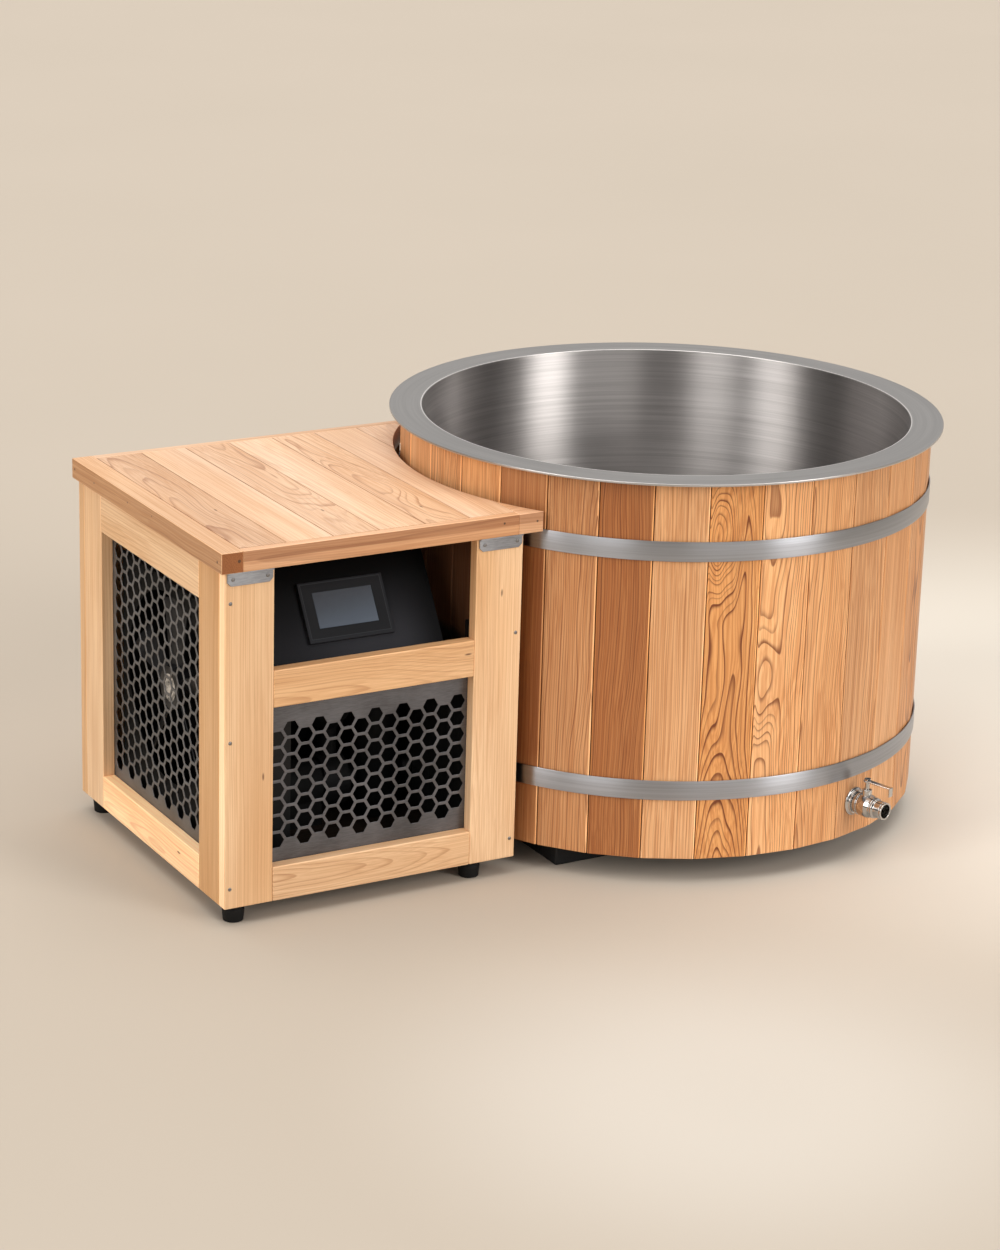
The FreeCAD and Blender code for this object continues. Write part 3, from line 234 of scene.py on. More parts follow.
def lathe(outline, steps, turn=Matrix.Identity(4), closed=True, gap=0.0):
    """An outline of (radius, height) points turned about the Z axis, then set in its place.

    A gap in radians leaves the ring open there, at the +Y side, with its two ends closed."""
    shape = bmesh.new()
    count = steps + 1 if gap else steps
    start = math.pi / 2 + gap / 2
    rows = []
    for radius, height in outline:
        row = []
        for step in range(count):
            angle = start + (2 * math.pi - gap) * step / steps
            row.append(shape.verts.new((radius * math.cos(angle), radius * math.sin(angle), height)))
        rows.append(row)
    after_each = rows[1:] + rows[:1] if closed else rows[1:]
    for low, high in zip(rows, after_each):
        for step in range(steps):
            after = (step + 1) % count
            shape.faces.new((low[step], low[after], high[after], high[step])).smooth = True
    if gap:
        for end in (0, -1):
            shape.faces.new([row[end] for row in rows])
    bmesh.ops.remove_doubles(shape, verts=shape.verts, dist=1e-6)
    bmesh.ops.recalc_face_normals(shape, faces=shape.faces)
    shape.transform(turn)
    return shape


def brushed_steel(name, shade, rough, stretch=0.9, flat_ring=False, worn=(0.0, 9.0)):
    """Stainless sheet with fine brush lines round the tub's axis, which stretch its highlights.

    Inside one radius and outside another the edges take a painted highlight."""
    inner_edge, outer_edge = 0.001, 0.0006
    material, paint = finish(name, Metallic=1.0, Anisotropic=stretch, Anisotropic_Rotation=0.25)
    x, y, z = place_of(paint).parts()
    radius = (x * x + y * y) ** 0.5
    across = radius if flat_ring else z
    lines = paint.node("ShaderNodeCombineXYZ", {}, {0: x * 2.2, 1: y * 2.2, 2: across})
    fine = lines.noise((1, 1, 1500), 2.0)
    broad = lines.noise((1.5, 1.5, 230), 3.0)
    strokes = lines.noise((0.8, 0.8, 95), 4.0)
    streak = fine * 0.35 + broad * 0.30 + strokes * 0.35
    tone = streak.stepped(0.36, 0.64).between(toned(shade, 0.86), toned(shade, 1.12))
    # Painted highlights along the inner and outer edges.
    painted_inner_highlight = radius.stepped(worn[0], worn[0] + inner_edge, 1.3, 0.0)
    painted_outer_highlight = radius.stepped(worn[1], worn[1] + outer_edge, 0.0, 0.45)
    paint.feed({
        "Base Color": tone * (painted_inner_highlight + painted_outer_highlight + 1.0),
        "Roughness": streak.stepped(0.25, 0.75, rough - 0.04, rough + 0.05),
        "Normal": fine.bumped(0.00002, 0.4),
    })
    return material


wall_low, wall_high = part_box("liner_wall")
rim_low, rim_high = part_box("rim_flange")
floor_low, floor_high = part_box("liner_floor")
liner_sheet, rim_sheet = 0.0015, 0.002
liner_steps = 360
rim_ease, wall_ease = 0.0018, 0.0004
inner_highlight_band, outer_highlight_band = 0.0022, 0.0012
liner_out = wall_high.x
liner_in = liner_out - liner_sheet
rim_out = rim_high.x
rim_top = rim_high.z
hem_low = rim_low.z
hem_in = rim_out - rim_sheet
rim_under = rim_top - rim_sheet
# The rim's inner and outer edges take a painted highlight.
rim_steel = brushed_steel("rim_brushed_steel", (0.37, 0.358, 0.352), 0.34, 0.45, flat_ring=True,
                          worn=(liner_in + inner_highlight_band, rim_out - outer_highlight_band))
rim_outline = rounded([(liner_in, rim_under), (hem_in, rim_under), (hem_in, hem_low), (rim_out, hem_low),
                       (rim_out, rim_top), (liner_in, rim_top)], rim_ease)
piece("rim_brushed", lathe(rim_outline, liner_steps), rim_steel, "brushed_steel", "rim_flange")
wall_steel = brushed_steel("liner_brushed_steel", (0.56, 0.535, 0.525), 0.36)
wall_outline = rounded([(liner_in, wall_low.z), (liner_out, wall_low.z), (liner_out, wall_high.z),
                        (liner_in, wall_high.z)], wall_ease)
piece("liner_wall_brushed", lathe(wall_outline, liner_steps), wall_steel, "brushed_steel", "liner_wall")
floor_steel = brushed_steel("liner_floor_steel", (0.42, 0.42, 0.42), 0.34, flat_ring=True)
floor_outline = [(0, floor_low.z), (liner_out, floor_low.z), (liner_out, floor_high.z), (0, floor_high.z)]
liner_floor = lathe(floor_outline, liner_steps, closed=False)
piece("liner_floor_brushed", liner_floor, floor_steel, "brushed_steel", "liner_floor")


# Foam round the liner
# Closed-cell foam fills the space between the liner and the staves, and keeps the water cold.
# It doesn't show from outside.
def keep(node, material):
    """Give a CAD node that keeps its own shape a finish."""
    cad[node].data.materials.clear()
    cad[node].data.materials.append(material)


foam_skin, paint = finish("foam_skin", Roughness=0.9)
cells = paint.node("ShaderNodeTexVoronoi", {}, {"Vector": place_of(paint), "Scale": 420.0})
paint.feed({
    "Base Color": cells.between((0.14, 0.14, 0.15), (0.26, 0.26, 0.27)),
    "Normal": cells.bumped(0.0004),
})
keep("insulation_wrap", foam_skin)


# Staves of the barrel
# Flat cedar staves with eased edges, set edge to edge in a ring and pulled tight by the hoops.
# Each is sawn from its own place in the log, so its rings, colour and figure differ.
def timber(name, early, late, ring, rough=0.46, ring_depth=0.75, fibres=0.78, core=0.0, heart=None,
           plugs=()):
    """Oiled softwood: growth rings about the board's pith, an eye where a branch grew, fibres and tone.

    Heartwood lies between two heights, and plugs are dark dots with a place and a radius."""
    fibre_shade, pore_shade = (0.74, 0.60, 0.48), (0.50, 0.36, 0.26)
    warm_shade, joint_shade = (1.0, 0.85, 0.55), (0.20, 0.105, 0.06)
    knot_brown, plug_brown = (0.22, 0.10, 0.045), (0.045, 0.022, 0.012)
    eye_reach, eye_stretch = 0.05, 0.27
    material, paint = finish(name)
    place = place_of(paint)
    grain, tone, eye = (paint.node("ShaderNodeAttribute", {"attribute_name": label}, {}, "Vector")
                        for label in ("grain", "tone", "eye"))
    joint = paint.node("ShaderNodeAttribute", {"attribute_name": "joint"}, {}, "Fac")
    tint, figure, warm = tone.parts()
    eye_across, eye_along, eye_lift = eye.parts()
    # The rings bend in long sways and short swirls, and lift round the eye.
    sway = grain.noise((5, 5, 1.5), 1.0, "Color") - 0.5
    swirl = grain.noise((21, 21, 4.5), 1.0, "Color") - 0.5
    bent = grain + sway * (figure * 0.060 + 0.006) + swirl * (figure * 0.020 + 0.0012)
    across, through, along = bent.parts()
    aside, ahead = across - eye_across, (along - eye_along) * eye_stretch
    eye_off = (aside * aside + ahead * ahead) ** 0.5
    through = through + eye_lift * eye_off.stepped(0.0, eye_reach, 1.0, 0.0)
    rings = (across * across + through * through) ** 0.5 / ring
    wide_year = paint.node("ShaderNodeTexNoise", {"noise_dimensions": "1D"},
                           {"W": rings, "Scale": 0.37, "Detail": 1.0})
    rings = rings + wide_year * 1.6
    ring_number = rings.sum("FLOOR", rings)
    phase = rings - ring_number
    dark_year = paint.node("ShaderNodeTexWhiteNoise", {"noise_dimensions": "1D"}, {"W": ring_number})
    late_wood = phase.stepped(0.40, 0.94) ** 2.2 * phase.stepped(0.94, 1.0, 1.0, 0.0)
    strength = (figure * 0.85 + 0.34) * (dark_year * 0.75 + 0.45) * ring_depth
    wood = (late_wood * strength).between(early, late)
    # Fibres and pores darken the wood in fine lines, clouds and blushes in broad ones.
    fibre = bent.noise((330, 330, 1.7), 3.0)
    pores = grain.noise((1300, 1300, 22), 2.0)
    cloud = grain.noise((13, 13, 1.8), 2.0)
    blush = grain.noise((7, 7, 1.1), 2.0)
    wood = (fibre.stepped(0.36, 0.64) * fibres).between(wood, fibre_shade, "MULTIPLY")
    wood = (pores.stepped(0.60, 0.78) * 0.25).between(wood, pore_shade, "MULTIPLY")
    wood = cloud.stepped(0.30, 0.70).between(wood, wood * (0.88, 0.83, 0.78))
    wood = blush.stepped(0.32, 0.68).between(wood * (1.03, 1.06, 1.11), wood * (0.98, 0.92, 0.84))
    wood = wood * (tint * (0.50, 0.62, 0.70) + (0.50, 0.38, 0.30))
    wood = warm.between(wood, warm_shade, "MULTIPLY")
    knot = eye_off.stepped(0.0008, 0.0030, core, 0.0) * eye_lift.stepped(0.0, 0.004)
    wood = knot.between(wood, knot_brown)
    if heart:
        heart_low, heart_top = heart
        height = place.parts()[2]
        in_heart = (height + cloud * 0.012).stepped(heart_low + 0.005, heart_low + 0.007)
        top_face = height.stepped(heart_top - 0.0012, heart_top - 0.0004)
        wood = in_heart.between(wood * (1.45, 1.66, 1.85), wood)
        wood = top_face.between(wood, wood * (1.75, 2.18, 2.65))
    for *middle, radius in plugs:
        plug = place.far_from(middle).stepped(0.6 * radius, radius, 0.85, 0.0)
        wood = plug.between(wood, plug_brown)
    wood = (joint * 0.9).between(wood, joint_shade, "MULTIPLY")
    relief = fibre * 0.5 + pores * 0.3 + late_wood * 0.4
    paint.feed({
        "Base Color": wood,
        "Roughness": fibre.stepped(0.3, 0.7, rough - 0.05, rough + 0.09) - late_wood * 0.06,
        "Normal": relief.bumped(0.0003, 0.5),
    })
    return material


def shape_tree(name, sizes):
    """A new node tree for shapes, with one named input for each size or mesh, and its inputs by name."""
    tree = bpy.data.node_groups.new(name, "GeometryNodeTree")
    for label, kind in sizes.items():
        tree.interface.new_socket(label, in_out="INPUT", socket_type=kind)
    tree.interface.new_socket("Geometry", in_out="OUTPUT", socket_type="NodeSocketGeometry")
    source = tree.nodes.new("NodeGroupInput")
    return tree, {label: Shade(tree, source.outputs[label]) for label in sizes}


def grown(tree, last, values, material, places=()):
    """The plain mesh that a node tree makes with some values of its inputs and points at some places."""
    real = last.node("GeometryNodeRealizeInstances", {}, {0: last})
    real = real.node("GeometryNodeSetMaterial", {}, {"Geometry": real, "Material": material})
    tree.links.new(real.socket, tree.nodes.new("NodeGroupOutput").inputs[0])
    holder = bpy.data.objects.new(tree.name, bpy.data.meshes.new(tree.name))
    holder.data.from_pydata(places, [], [])
    bpy.context.scene.collection.objects.link(holder)
    modifier = holder.modifiers.new(tree.name, "NODES")
    modifier.node_group = tree
    for item in tree.interface.items_tree:
        if item.in_out == "INPUT" and item.name in values:
            modifier[item.identifier] = values[item.name]
    graph = bpy.context.evaluated_depsgraph_get()
    mesh = bpy.data.meshes.new_from_object(holder.evaluated_get(graph))
    holder.modifiers.remove(modifier)
    bpy.data.objects.remove(holder)
    return mesh


stave_low, stave_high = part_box("staves")
stave_height = stave_high.z - stave_low.z
stave_count = 32
stave_step = 2 * math.pi / stave_count
stave_face = 0.574
stave_thick = 0.034
stave_gap = 0.0012
stave_ease = 0.0034
NUMBER, WHOLE = "NodeSocketFloat", "NodeSocketInt"
tree, size = shape_tree("stave_ring", {"Count": WHOLE, "Face": NUMBER, "Thickness": NUMBER,
                                       "Height": NUMBER, "Base": NUMBER, "Gap": NUMBER, "Ease": NUMBER})
half_step = math.pi / size["Count"]
slope = half_step.sum("TANGENT", half_step)
outer_width = 2 * slope * size["Face"] - size["Gap"]
inner_width = 2 * slope * (size["Face"] - size["Thickness"]) - size["Gap"]
section = size["Face"].node("GeometryNodeCurvePrimitiveQuadrilateral", {"mode": "TRAPEZOID"},
                            {"Bottom Width": inner_width, "Top Width": outer_width, "Offset": 0.0,
                             "Height": size["Thickness"]})
section = section.node("GeometryNodeFilletCurve", {"mode": "POLY"},
                       {"Curve": section, "Radius": size["Ease"], "Limit Radius": True, "Count": 3})
base = section.node("GeometryNodeFillCurve", {"mode": "NGONS"}, {"Curve": section})
upward = section.node("ShaderNodeCombineXYZ", {}, {2: size["Height"]})
solid = base.node("GeometryNodeExtrudeMesh", {"mode": "FACES"},
                  {"Mesh": base, "Offset": upward, "Offset Scale": 1.0, "Individual": False})
under = base.node("GeometryNodeFlipFaces", {}, {"Mesh": base})
joined = base.node("GeometryNodeJoinGeometry", {}, {0: solid})
base.tree.links.new(under.socket, joined.socket.node.inputs[0])
joined = base.node("GeometryNodeMergeByDistance", {}, {"Geometry": joined, "Distance": 1e-6})
joined = base.node("GeometryNodeSubdivideMesh", {}, {"Mesh": joined, "Level": 2})
outward = section.node("ShaderNodeCombineXYZ", {},
                       {0: size["Face"] - size["Thickness"] * 0.5, 2: size["Base"]})
stave = base.node("GeometryNodeTransform", {},
                  {"Geometry": joined, "Translation": outward, "Rotation": (0, 0, -math.pi / 2)})
points = base.node("GeometryNodePoints", {},
                   {"Count": size["Count"], "Position": (0, 0, 0), "Radius": 0.01})
number = base.node("GeometryNodeInputIndex", {}, {})
turned = base.node("ShaderNodeCombineXYZ", {}, {2: (number + 0.5) * (2 * half_step)})
ring = base.node("GeometryNodeInstanceOnPoints", {},
                 {"Points": points, "Instance": stave, "Rotation": turned})
stave_wood = timber("stave_cedar", (0.943, 0.546, 0.270), (0.25, 0.075, 0.020), 0.0046,
                    ring_depth=0.95, fibres=0.85)
stave_mesh = grown(tree, ring, {"Count": stave_count, "Face": stave_face, "Thickness": stave_thick,
                                "Height": stave_height, "Base": stave_low.z, "Gap": stave_gap,
                                "Ease": stave_ease}, stave_wood)
# Looks of the staves that face the front, by number from left to right: lightness, figure, warmth,
# place of the pith beside and behind the face, its lean, and the eye's place across, height and size.
stave_looks = {
    # Stave 18's low lightness is painted shade from the cabinet beside it.
    18: (-0.14, 0.10, 0.20, 0.120, 0.070, 0.010, 0, 0, 0),
    19: (0.42, 0.46, 0.10, -0.075, 0.055, 0.020, 0.020, 0.40, 0.010),
    20: (0.02, 0.60, 0.62, 0.110, 0.060, 0.010, 0.045, 0.30, 0.012),
    21: (0.72, 0.20, 0.05, 0.170, 0.060, 0.020, -0.05, 0.10, 0.02),
    22: (0.80, 1.00, 0.68, 0.012, 0.045, 0.060, -0.03, 0.74, 0.05),
    23: (1.27, 0.70, 0.00, 0.036, 0.034, 0.012, -0.036, 0.43, 0.030),
    24: (0.97, 0.48, 0.06, 0.080, 0.060, 0.010, 0.030, 0.43, 0.022),
    25: (0.62, 0.42, 0.08, -0.070, 0.060, -0.015, 0.0, 0.50, 0.008),
    26: (0.80, 0.20, 0.04, 0.120, 0.070, 0.010, 0, 0, 0),
}
# The two staves beside the cabinet have painted shade along their middle half, so they are lighter at their
# ends.
staves_with_painted_shade = {17: 0.45, 18: 0.485}
painted_shade_half = 0.25
# Painted highlights lighten the eased right edges, the left ones less, and the joints behind them are dark.
flat_depth, edge_depth, joint_depth = 0.0002, 0.0018, 0.0025
right_edge_painted_highlight, left_edge_painted_highlight = 1.3, 0.2
draw = random.Random(11)
each = len(stave_mesh.vertices) // stave_count
for name in ("grain", "tone", "eye"):
    stave_mesh.attributes.new(name, "FLOAT_VECTOR", "POINT")
stave_mesh.attributes.new("joint", "FLOAT", "POINT")
grain_of, tone_of, eye_of, joint_of = (
    stave_mesh.attributes[name].data for name in ("grain", "tone", "eye", "joint"))
for index in range(stave_count):
    chance = (draw.uniform(0.45, 0.95), draw.uniform(0.05, 0.7), draw.uniform(0.05, 0.35),
              draw.uniform(-0.15, 0.15), draw.uniform(0.05, 0.09), draw.uniform(-0.04, 0.04), 0, 0, 0)
    light, figure, warm, aside, behind, lean, *eye = stave_looks.get(index, chance)
    along = draw.uniform(0, 20)
    painted_shade_depth = staves_with_painted_shade.get(index, 0.0)
    turn = Matrix.Rotation(-(index + 0.5) * stave_step, 3, "Z")
    for vertex in range(index * each, (index + 1) * each):
        local = turn @ stave_mesh.vertices[vertex].co
        depth = stave_face - local.x
        from_middle = abs((local.z - stave_low.z) / stave_height - 0.5)
        # Painted shade: the middle half of the staves beside the cabinet stays darker than their ends.
        tint = light + painted_shade_depth * max(0.0, from_middle - painted_shade_half) / (0.5 - painted_shade_half)
        # Painted highlight on the eased edges of each stave.
        if flat_depth < depth < edge_depth:
            tint += right_edge_painted_highlight if local.y > 0 else left_edge_painted_highlight
        grain_of[vertex].vector = (local.y + aside, depth + behind + lean * local.z, local.z + along)
        tone_of[vertex].vector = (tint, figure, warm)
        eye_of[vertex].vector = (eye[0] + aside, eye[1] + along, eye[2])
        joint_of[vertex].value = min(1.0, max(0.0, (depth - edge_depth) / joint_depth))
piece("stave_ring_cedar", stave_mesh, stave_wood, "cedar_stave", "staves")


# Hoops
# Flat bands of satin stainless steel round the staves, split at the back, with a lug welded
# to each end and a bolt that draws the lugs together.
hoop_steel = brushed_steel("hoop_steel", (0.410, 0.423, 0.458), 0.35)
hoop_sheet = 0.0025
hoop_ease = 0.0009
hoop_split = 0.024
hoop_steps = 320
lug_length = 0.014
lug_height = 0.026
lug_ease = 0.0012


def slab(shape, low, high, ease):
    """Add a block with eased edges between two corners to a shape."""
    made = bmesh.ops.create_cube(shape, size=1.0)["verts"]
    for vert in made:
        vert.co = [low[i] if vert.co[i] < 0 else high[i] for i in range(3)]
    edges = {edge for vert in made for edge in vert.link_edges}
    bevel = bmesh.ops.bevel(shape, geom=list(edges), offset=ease, segments=2, profile=0.5, affect="EDGES")
    for face in bevel["faces"]:
        face.smooth = len(face.verts) == 4 and min(e.calc_length() for e in face.edges) < 1.6 * ease


for hoop in ("upper_hoop", "lower_hoop"):
    hoop_low, hoop_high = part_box(hoop)
    hoop_out = hoop_high.x
    hoop_in = hoop_out - hoop_sheet
    outline = rounded([(hoop_in, hoop_low.z), (hoop_out, hoop_low.z), (hoop_out, hoop_high.z),
                       (hoop_in, hoop_high.z)], hoop_ease, 3)
    band = lathe(outline, hoop_steps, gap=hoop_split / hoop_out)
    lug_low = (hoop_low.z + hoop_high.z - lug_height) / 2
    for side in (-1, 1):
        ends = sorted((side * hoop_split / 2, side * (hoop_split / 2 + lug_length)))
        slab(band, (ends[0], hoop_in, lug_low), (ends[1], hoop_high.y, lug_low + lug_height), lug_ease)
    piece(hoop + "_band", band, hoop_steel, "brushed_steel", hoop)
bolt_steel = speckled("bolt_steel", (0.55, 0.55, 0.54), 0.35, Metallic=1.0)
bolt_ease = 0.0006
piece("hoop_bolts_turned", eased("hoop_bolts", bolt_ease), bolt_steel, "bright_fitting", "hoop_bolts")


# Drain
# Turned and polished stainless: a stepped flange on the stave, a grooved valve body with a boss
# for the stem, and an open outlet. A bent strip of sheet under a nut is the lever.
def polished(name, shade, rough):
    """Bright turned steel with faint marks from the tool and finger-worn haze."""
    material, paint = finish(name, Metallic=1.0)
    place = place_of(paint)
    haze = place.noise((38, 38, 38), 4.0)
    marks = place.noise((900, 900, 900), 2.0)
    paint.feed({
        "Base Color": haze.between(toned(shade, 0.86), toned(shade, 1.06)),
        "Roughness": haze.stepped(0.3, 0.75, rough - 0.05, rough + 0.10),
        "Normal": marks.bumped(0.00002, 0.4),
    })
    return material


def add_shape(shape, other):
    """Add another shape to a shape."""
    mesh = bpy.data.meshes.new("added_shape")
    other.to_mesh(mesh)
    other.free()
    shape.from_mesh(mesh)
    bpy.data.meshes.remove(mesh)


# Distances along the drain are from the tub's axis, and radii from the drain's own.
drain_angle = -math.radians(73.125)
drain_height = 0.129
drain_turn = (Matrix.Translation((0, 0, drain_height)) @ Matrix.Rotation(drain_angle, 4, "Z")
              @ Matrix.Rotation(math.pi / 2, 4, "Y"))
drain_steps, boss_steps = 96, 48
drain_bore, pipe_r = 0.015, 0.0195
flange_r, step_r, groove_r, shoulder_r = 0.031, 0.0285, 0.0272, 0.026
flange_in = stave_face + 0.0001
collar_r, neck_r, boss_r, stem_r = 0.025, 0.0225, 0.0105, 0.0053
valve_in, ball_x, valve_out, spigot_end = 0.584, 0.608, 0.632, 0.660
spigot_r, spigot_shoulder_r, bead_depth = 0.019, 0.0215, 0.001
groove = 0.004
flange_ease, valve_ease, boss_ease, spigot_ease = 0.0012, 0.0011, 0.0012, 0.0010
bright = polished("drain_bright_steel", (0.54, 0.525, 0.51), 0.11)
flange = rounded([(pipe_r, flange_in), (flange_r, flange_in), (flange_r, stave_face + 0.003),
                  (step_r, stave_face + 0.0042), (groove_r, stave_face + 0.0062),
                  (shoulder_r, stave_face + 0.0072), (shoulder_r, valve_in), (pipe_r, valve_in)],
                 flange_ease, 3)
flange_shape = lathe(flange, drain_steps, drain_turn)
piece("drain_flange_turned", flange_shape, bright, "bright_fitting", "drain_escutcheon")
first = valve_in + 2 * groove
valve = rounded([(drain_bore, valve_in), (neck_r, valve_in), (neck_r, first), (collar_r, first),
                 (collar_r, first + groove), (neck_r, first + groove), (neck_r, first + 2 * groove),
                 (collar_r, first + 2 * groove), (collar_r, ball_x + 0.0105), (neck_r, ball_x + 0.0195),
                 (neck_r, valve_out), (drain_bore, valve_out)], valve_ease, 3)
casting = lathe(valve, drain_steps, drain_turn)
boss_turn = Matrix.Rotation(drain_angle, 4, "Z") @ Matrix.Translation((ball_x, 0, 0))
boss_low, boss_top = 0.146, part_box("valve_body")[1].z
boss = rounded([(stem_r, boss_low), (boss_r, boss_low), (boss_r, boss_top), (stem_r, boss_top)],
               boss_ease, 3)
add_shape(casting, lathe(boss, boss_steps, boss_turn))
piece("valve_body_turned", casting, bright, "bright_fitting", "valve_body")
outlet = rounded([(drain_bore, valve_out), (spigot_shoulder_r, valve_out),
                  (spigot_shoulder_r, valve_out + 0.004), (spigot_r, valve_out + 0.007),
                  (spigot_r, spigot_end - 0.006), (spigot_r - bead_depth, spigot_end - 0.005),
                  (spigot_r, spigot_end - 0.004), (spigot_r, spigot_end), (drain_bore, spigot_end)],
                 spigot_ease, 3)
outlet_shape = lathe(outlet, drain_steps, drain_turn)
piece("outlet_spigot_turned", outlet_shape, bright, "bright_fitting", "outlet_spigot")
for name, node, ease in (("drain_lever_bent", "drain_lever", 0.0007), ("lever_nut_cut", "lever_nut", 0.0006),
                         ("valve_stem_turned", "valve_stem", 0.0006)):
    piece(name, eased(node, ease), bright, "bright_fitting", node, body="drain_handle")
seat_white = speckled("seat_white_plastic", (0.70, 0.70, 0.68), 0.5)
rubber = speckled("black_rubber", (0.005, 0.005, 0.005), 0.62, 600.0, 0.0001, Specular_IOR_Level=0.22)
for node in ("valve_ball", "drain_tailpiece", "drain_strainer", "wall_fittings"):
    keep(node, bright)
for node in ("valve_seats", "filter_cartridge"):
    keep(node, seat_white)
keep("drain_gasket", rubber)


# Cabinet frame
# Planed pine boards: stiles that run the full height and rails between them, glued and screwed.
# Their edges are eased, with a painted highlight along them, and the wood is oiled. The decks of cabinet and
# barrel are sawn and bare, and painted nearly black as painted shade.
def islands(shape):
    """The groups of joined vertices of a shape, in order of place."""
    left = set(shape.verts)
    groups = []
    while left:
        found, edge_of = [], [left.pop()]
        while edge_of:
            vert = edge_of.pop()
            found.append(vert)
            for edge in vert.link_edges:
                other = edge.other_vert(vert)
                if other in left:
                    left.remove(other)
                    edge_of.append(other)
        groups.append(found)
    return sorted(groups, key=lambda found: sum(sum(v.co) for v in found) / len(found))


def grained(shape, along, chance, looks=(), edge=0.45):
    """Give each board of a shape its own place in the log and its own tone.

    The grain runs along one axis; looks give boards, in order of place, their own values.
    The sawn ends take more oil and are darker. The middles of the eased edges are lightened by edge as a
    painted highlight, and darkened as joints where edge is negative."""
    face_depth, end_dark, end_warm = 0.0002, 1.05, 0.4
    for name in ("grain", "tone", "eye"):
        shape.verts.layers.float_vector.new(name)
    grain_of, tone_of, eye_of = (shape.verts.layers.float_vector[name] for name in ("grain", "tone", "eye"))
    for index, found in enumerate(islands(shape)):
        low = Vector([min(v.co[i] for v in found) for i in range(3)])
        high = Vector([max(v.co[i] for v in found) for i in range(3)])
        centre = (low + high) / 2
        across, through = sorted((i for i in range(3) if i != along), key=lambda i: low[i] - high[i])
        guess = (chance.uniform(0.55, 0.95), chance.uniform(0.1, 0.45), chance.uniform(0.0, 0.25),
                 chance.uniform(-0.12, 0.12), chance.uniform(0.05, 0.10), chance.uniform(-0.03, 0.03),
                 0, 0, 0)
        look = looks[index] if index < len(looks) else guess
        tint, bold, warm, aside, behind, lean, eye_across, eye_along, eye_lift = look
        offset = chance.uniform(0, 20)
        for vert in found:
            local = vert.co - centre
            inside = [abs(local[i]) < (high[i] - low[i]) / 2 - face_depth for i in range(3)]
            sawn_end = not inside[along]
            vert[grain_of] = (local[across] + aside, local[through] + behind + lean * local[along],
                              local[along] + offset)
            # A positive edge lightens the middles of the eased edges, a painted highlight; a negative one
            # darkens them as joints.
            vert[tone_of] = (tint + edge * all(inside) - end_dark * sawn_end, bold,
                             warm + end_warm * sawn_end)
            vert[eye_of] = (eye_across + aside, eye_along + offset, eye_lift)
    return shape


def tone_left_face(board, tone):
    """Give the outer left face of a board a tone of its own."""
    face_depth = 0.0004
    tone_of = board.verts.layers.float_vector["tone"]
    side = min(vert.co.x for vert in board.verts) + face_depth
    for vert in board.verts:
        if vert.co.x < side:
            vert[tone_of] = tone


X, Y, Z = range(3)
chance = random.Random(5)
frame_wood = timber("frame_pine", (0.902, 0.608, 0.356), (0.51, 0.23, 0.092), 0.0045, 0.48, 0.70, 0.42, 1.0)
frame_ease, deck_ease = 0.0026, 0.0015
# Lightness, figure, warmth, pith beside and behind, lean, and the eye's place across, along and size.
frame_boards = {
    "front_left_stile": (Z, (0.87, 0.10, 0.12, 0.14, 0.06, 0.006, 0.030, -0.08, 0.006)),
    "front_right_stile": (Z, (1.08, 0.14, 0.02, 0.06, 0.07, 0.02, 0.006, 0.23, 0.003)),
    "front_middle_rail": (X, (0.88, 0.35, 0.12, 0.03, 0.06, 0.02, 0.010, 0.212, 0.016)),
    "front_bottom_rail": (X, (0.90, 0.45, 0.00, -0.008, 0.05, 0.03, 0, 0, 0)),
    "left_front_stile": (Z, (0.70, 0.12, 0.50, 0.15, 0.07, 0.004, 0, 0, 0)),
    "left_rear_stile": (Z, (1.15, 0.10, 0.0, 0.12, 0.07, 0.004, 0, 0, 0)),
    "left_top_rail": (Y, (1.12, 0.25, 0.02, 0.05, 0.06, 0.01, 0, 0, 0)),
    # The left bottom rail's high lightness is painted light, standing in for light bounced up from the
    # floor.
    "left_bottom_rail": (Y, (2.10, 0.30, 0.0, 0.02, 0.06, 0.01, 0.005, -0.15, 0.006)),
}
# Painted highlight: the outer left face of the front left stile is painted very pale.
painted_highlight_side = (2.0, 0.05, 0.0)
for node, (along, look) in frame_boards.items():
    board = grained(eased(node, frame_ease), along, chance, [look])
    if node == "front_left_stile":
        tone_left_face(board, painted_highlight_side)
    piece(node + "_planed", board, frame_wood, "pine_frame", node)
rear_boards = grained(eased("rear_boards", frame_ease), Z, chance)
piece("rear_boards_planed", rear_boards, frame_wood, "pine_frame", "rear_boards")
# The inner boards are stained, and painted black below the edge of the panel as painted shade, where no
# light comes.
inner_wood = timber("inner_sawn_wood_painted_shade", (0.030, 0.017, 0.009), (0.016, 0.009, 0.005), 0.0060, 0.75)
stained_and_shaded_wood = timber("inner_stained_wood_painted_shade", (0.16, 0.072, 0.030), (0.085, 0.034, 0.013), 0.0060, 0.7)
shade_fade_low, shade_fade_high = 0.50, 0.53
paint = Shade(stained_and_shaded_wood.node_tree)
height = place_of(paint).parts()[2]
stain = Shade(paint.tree, paint.tree.nodes["Principled BSDF"].inputs["Base Color"].links[0].from_socket)
paint.feed({"Base Color": height.stepped(shade_fade_low, shade_fade_high).between((0.003, 0.003, 0.003), stain)})
inner_boards = grained(eased("inner_side_boards", frame_ease), Z, chance)
piece("inner_side_boards_stained_and_shaded", inner_boards, stained_and_shaded_wood, "pine_frame", "inner_side_boards")
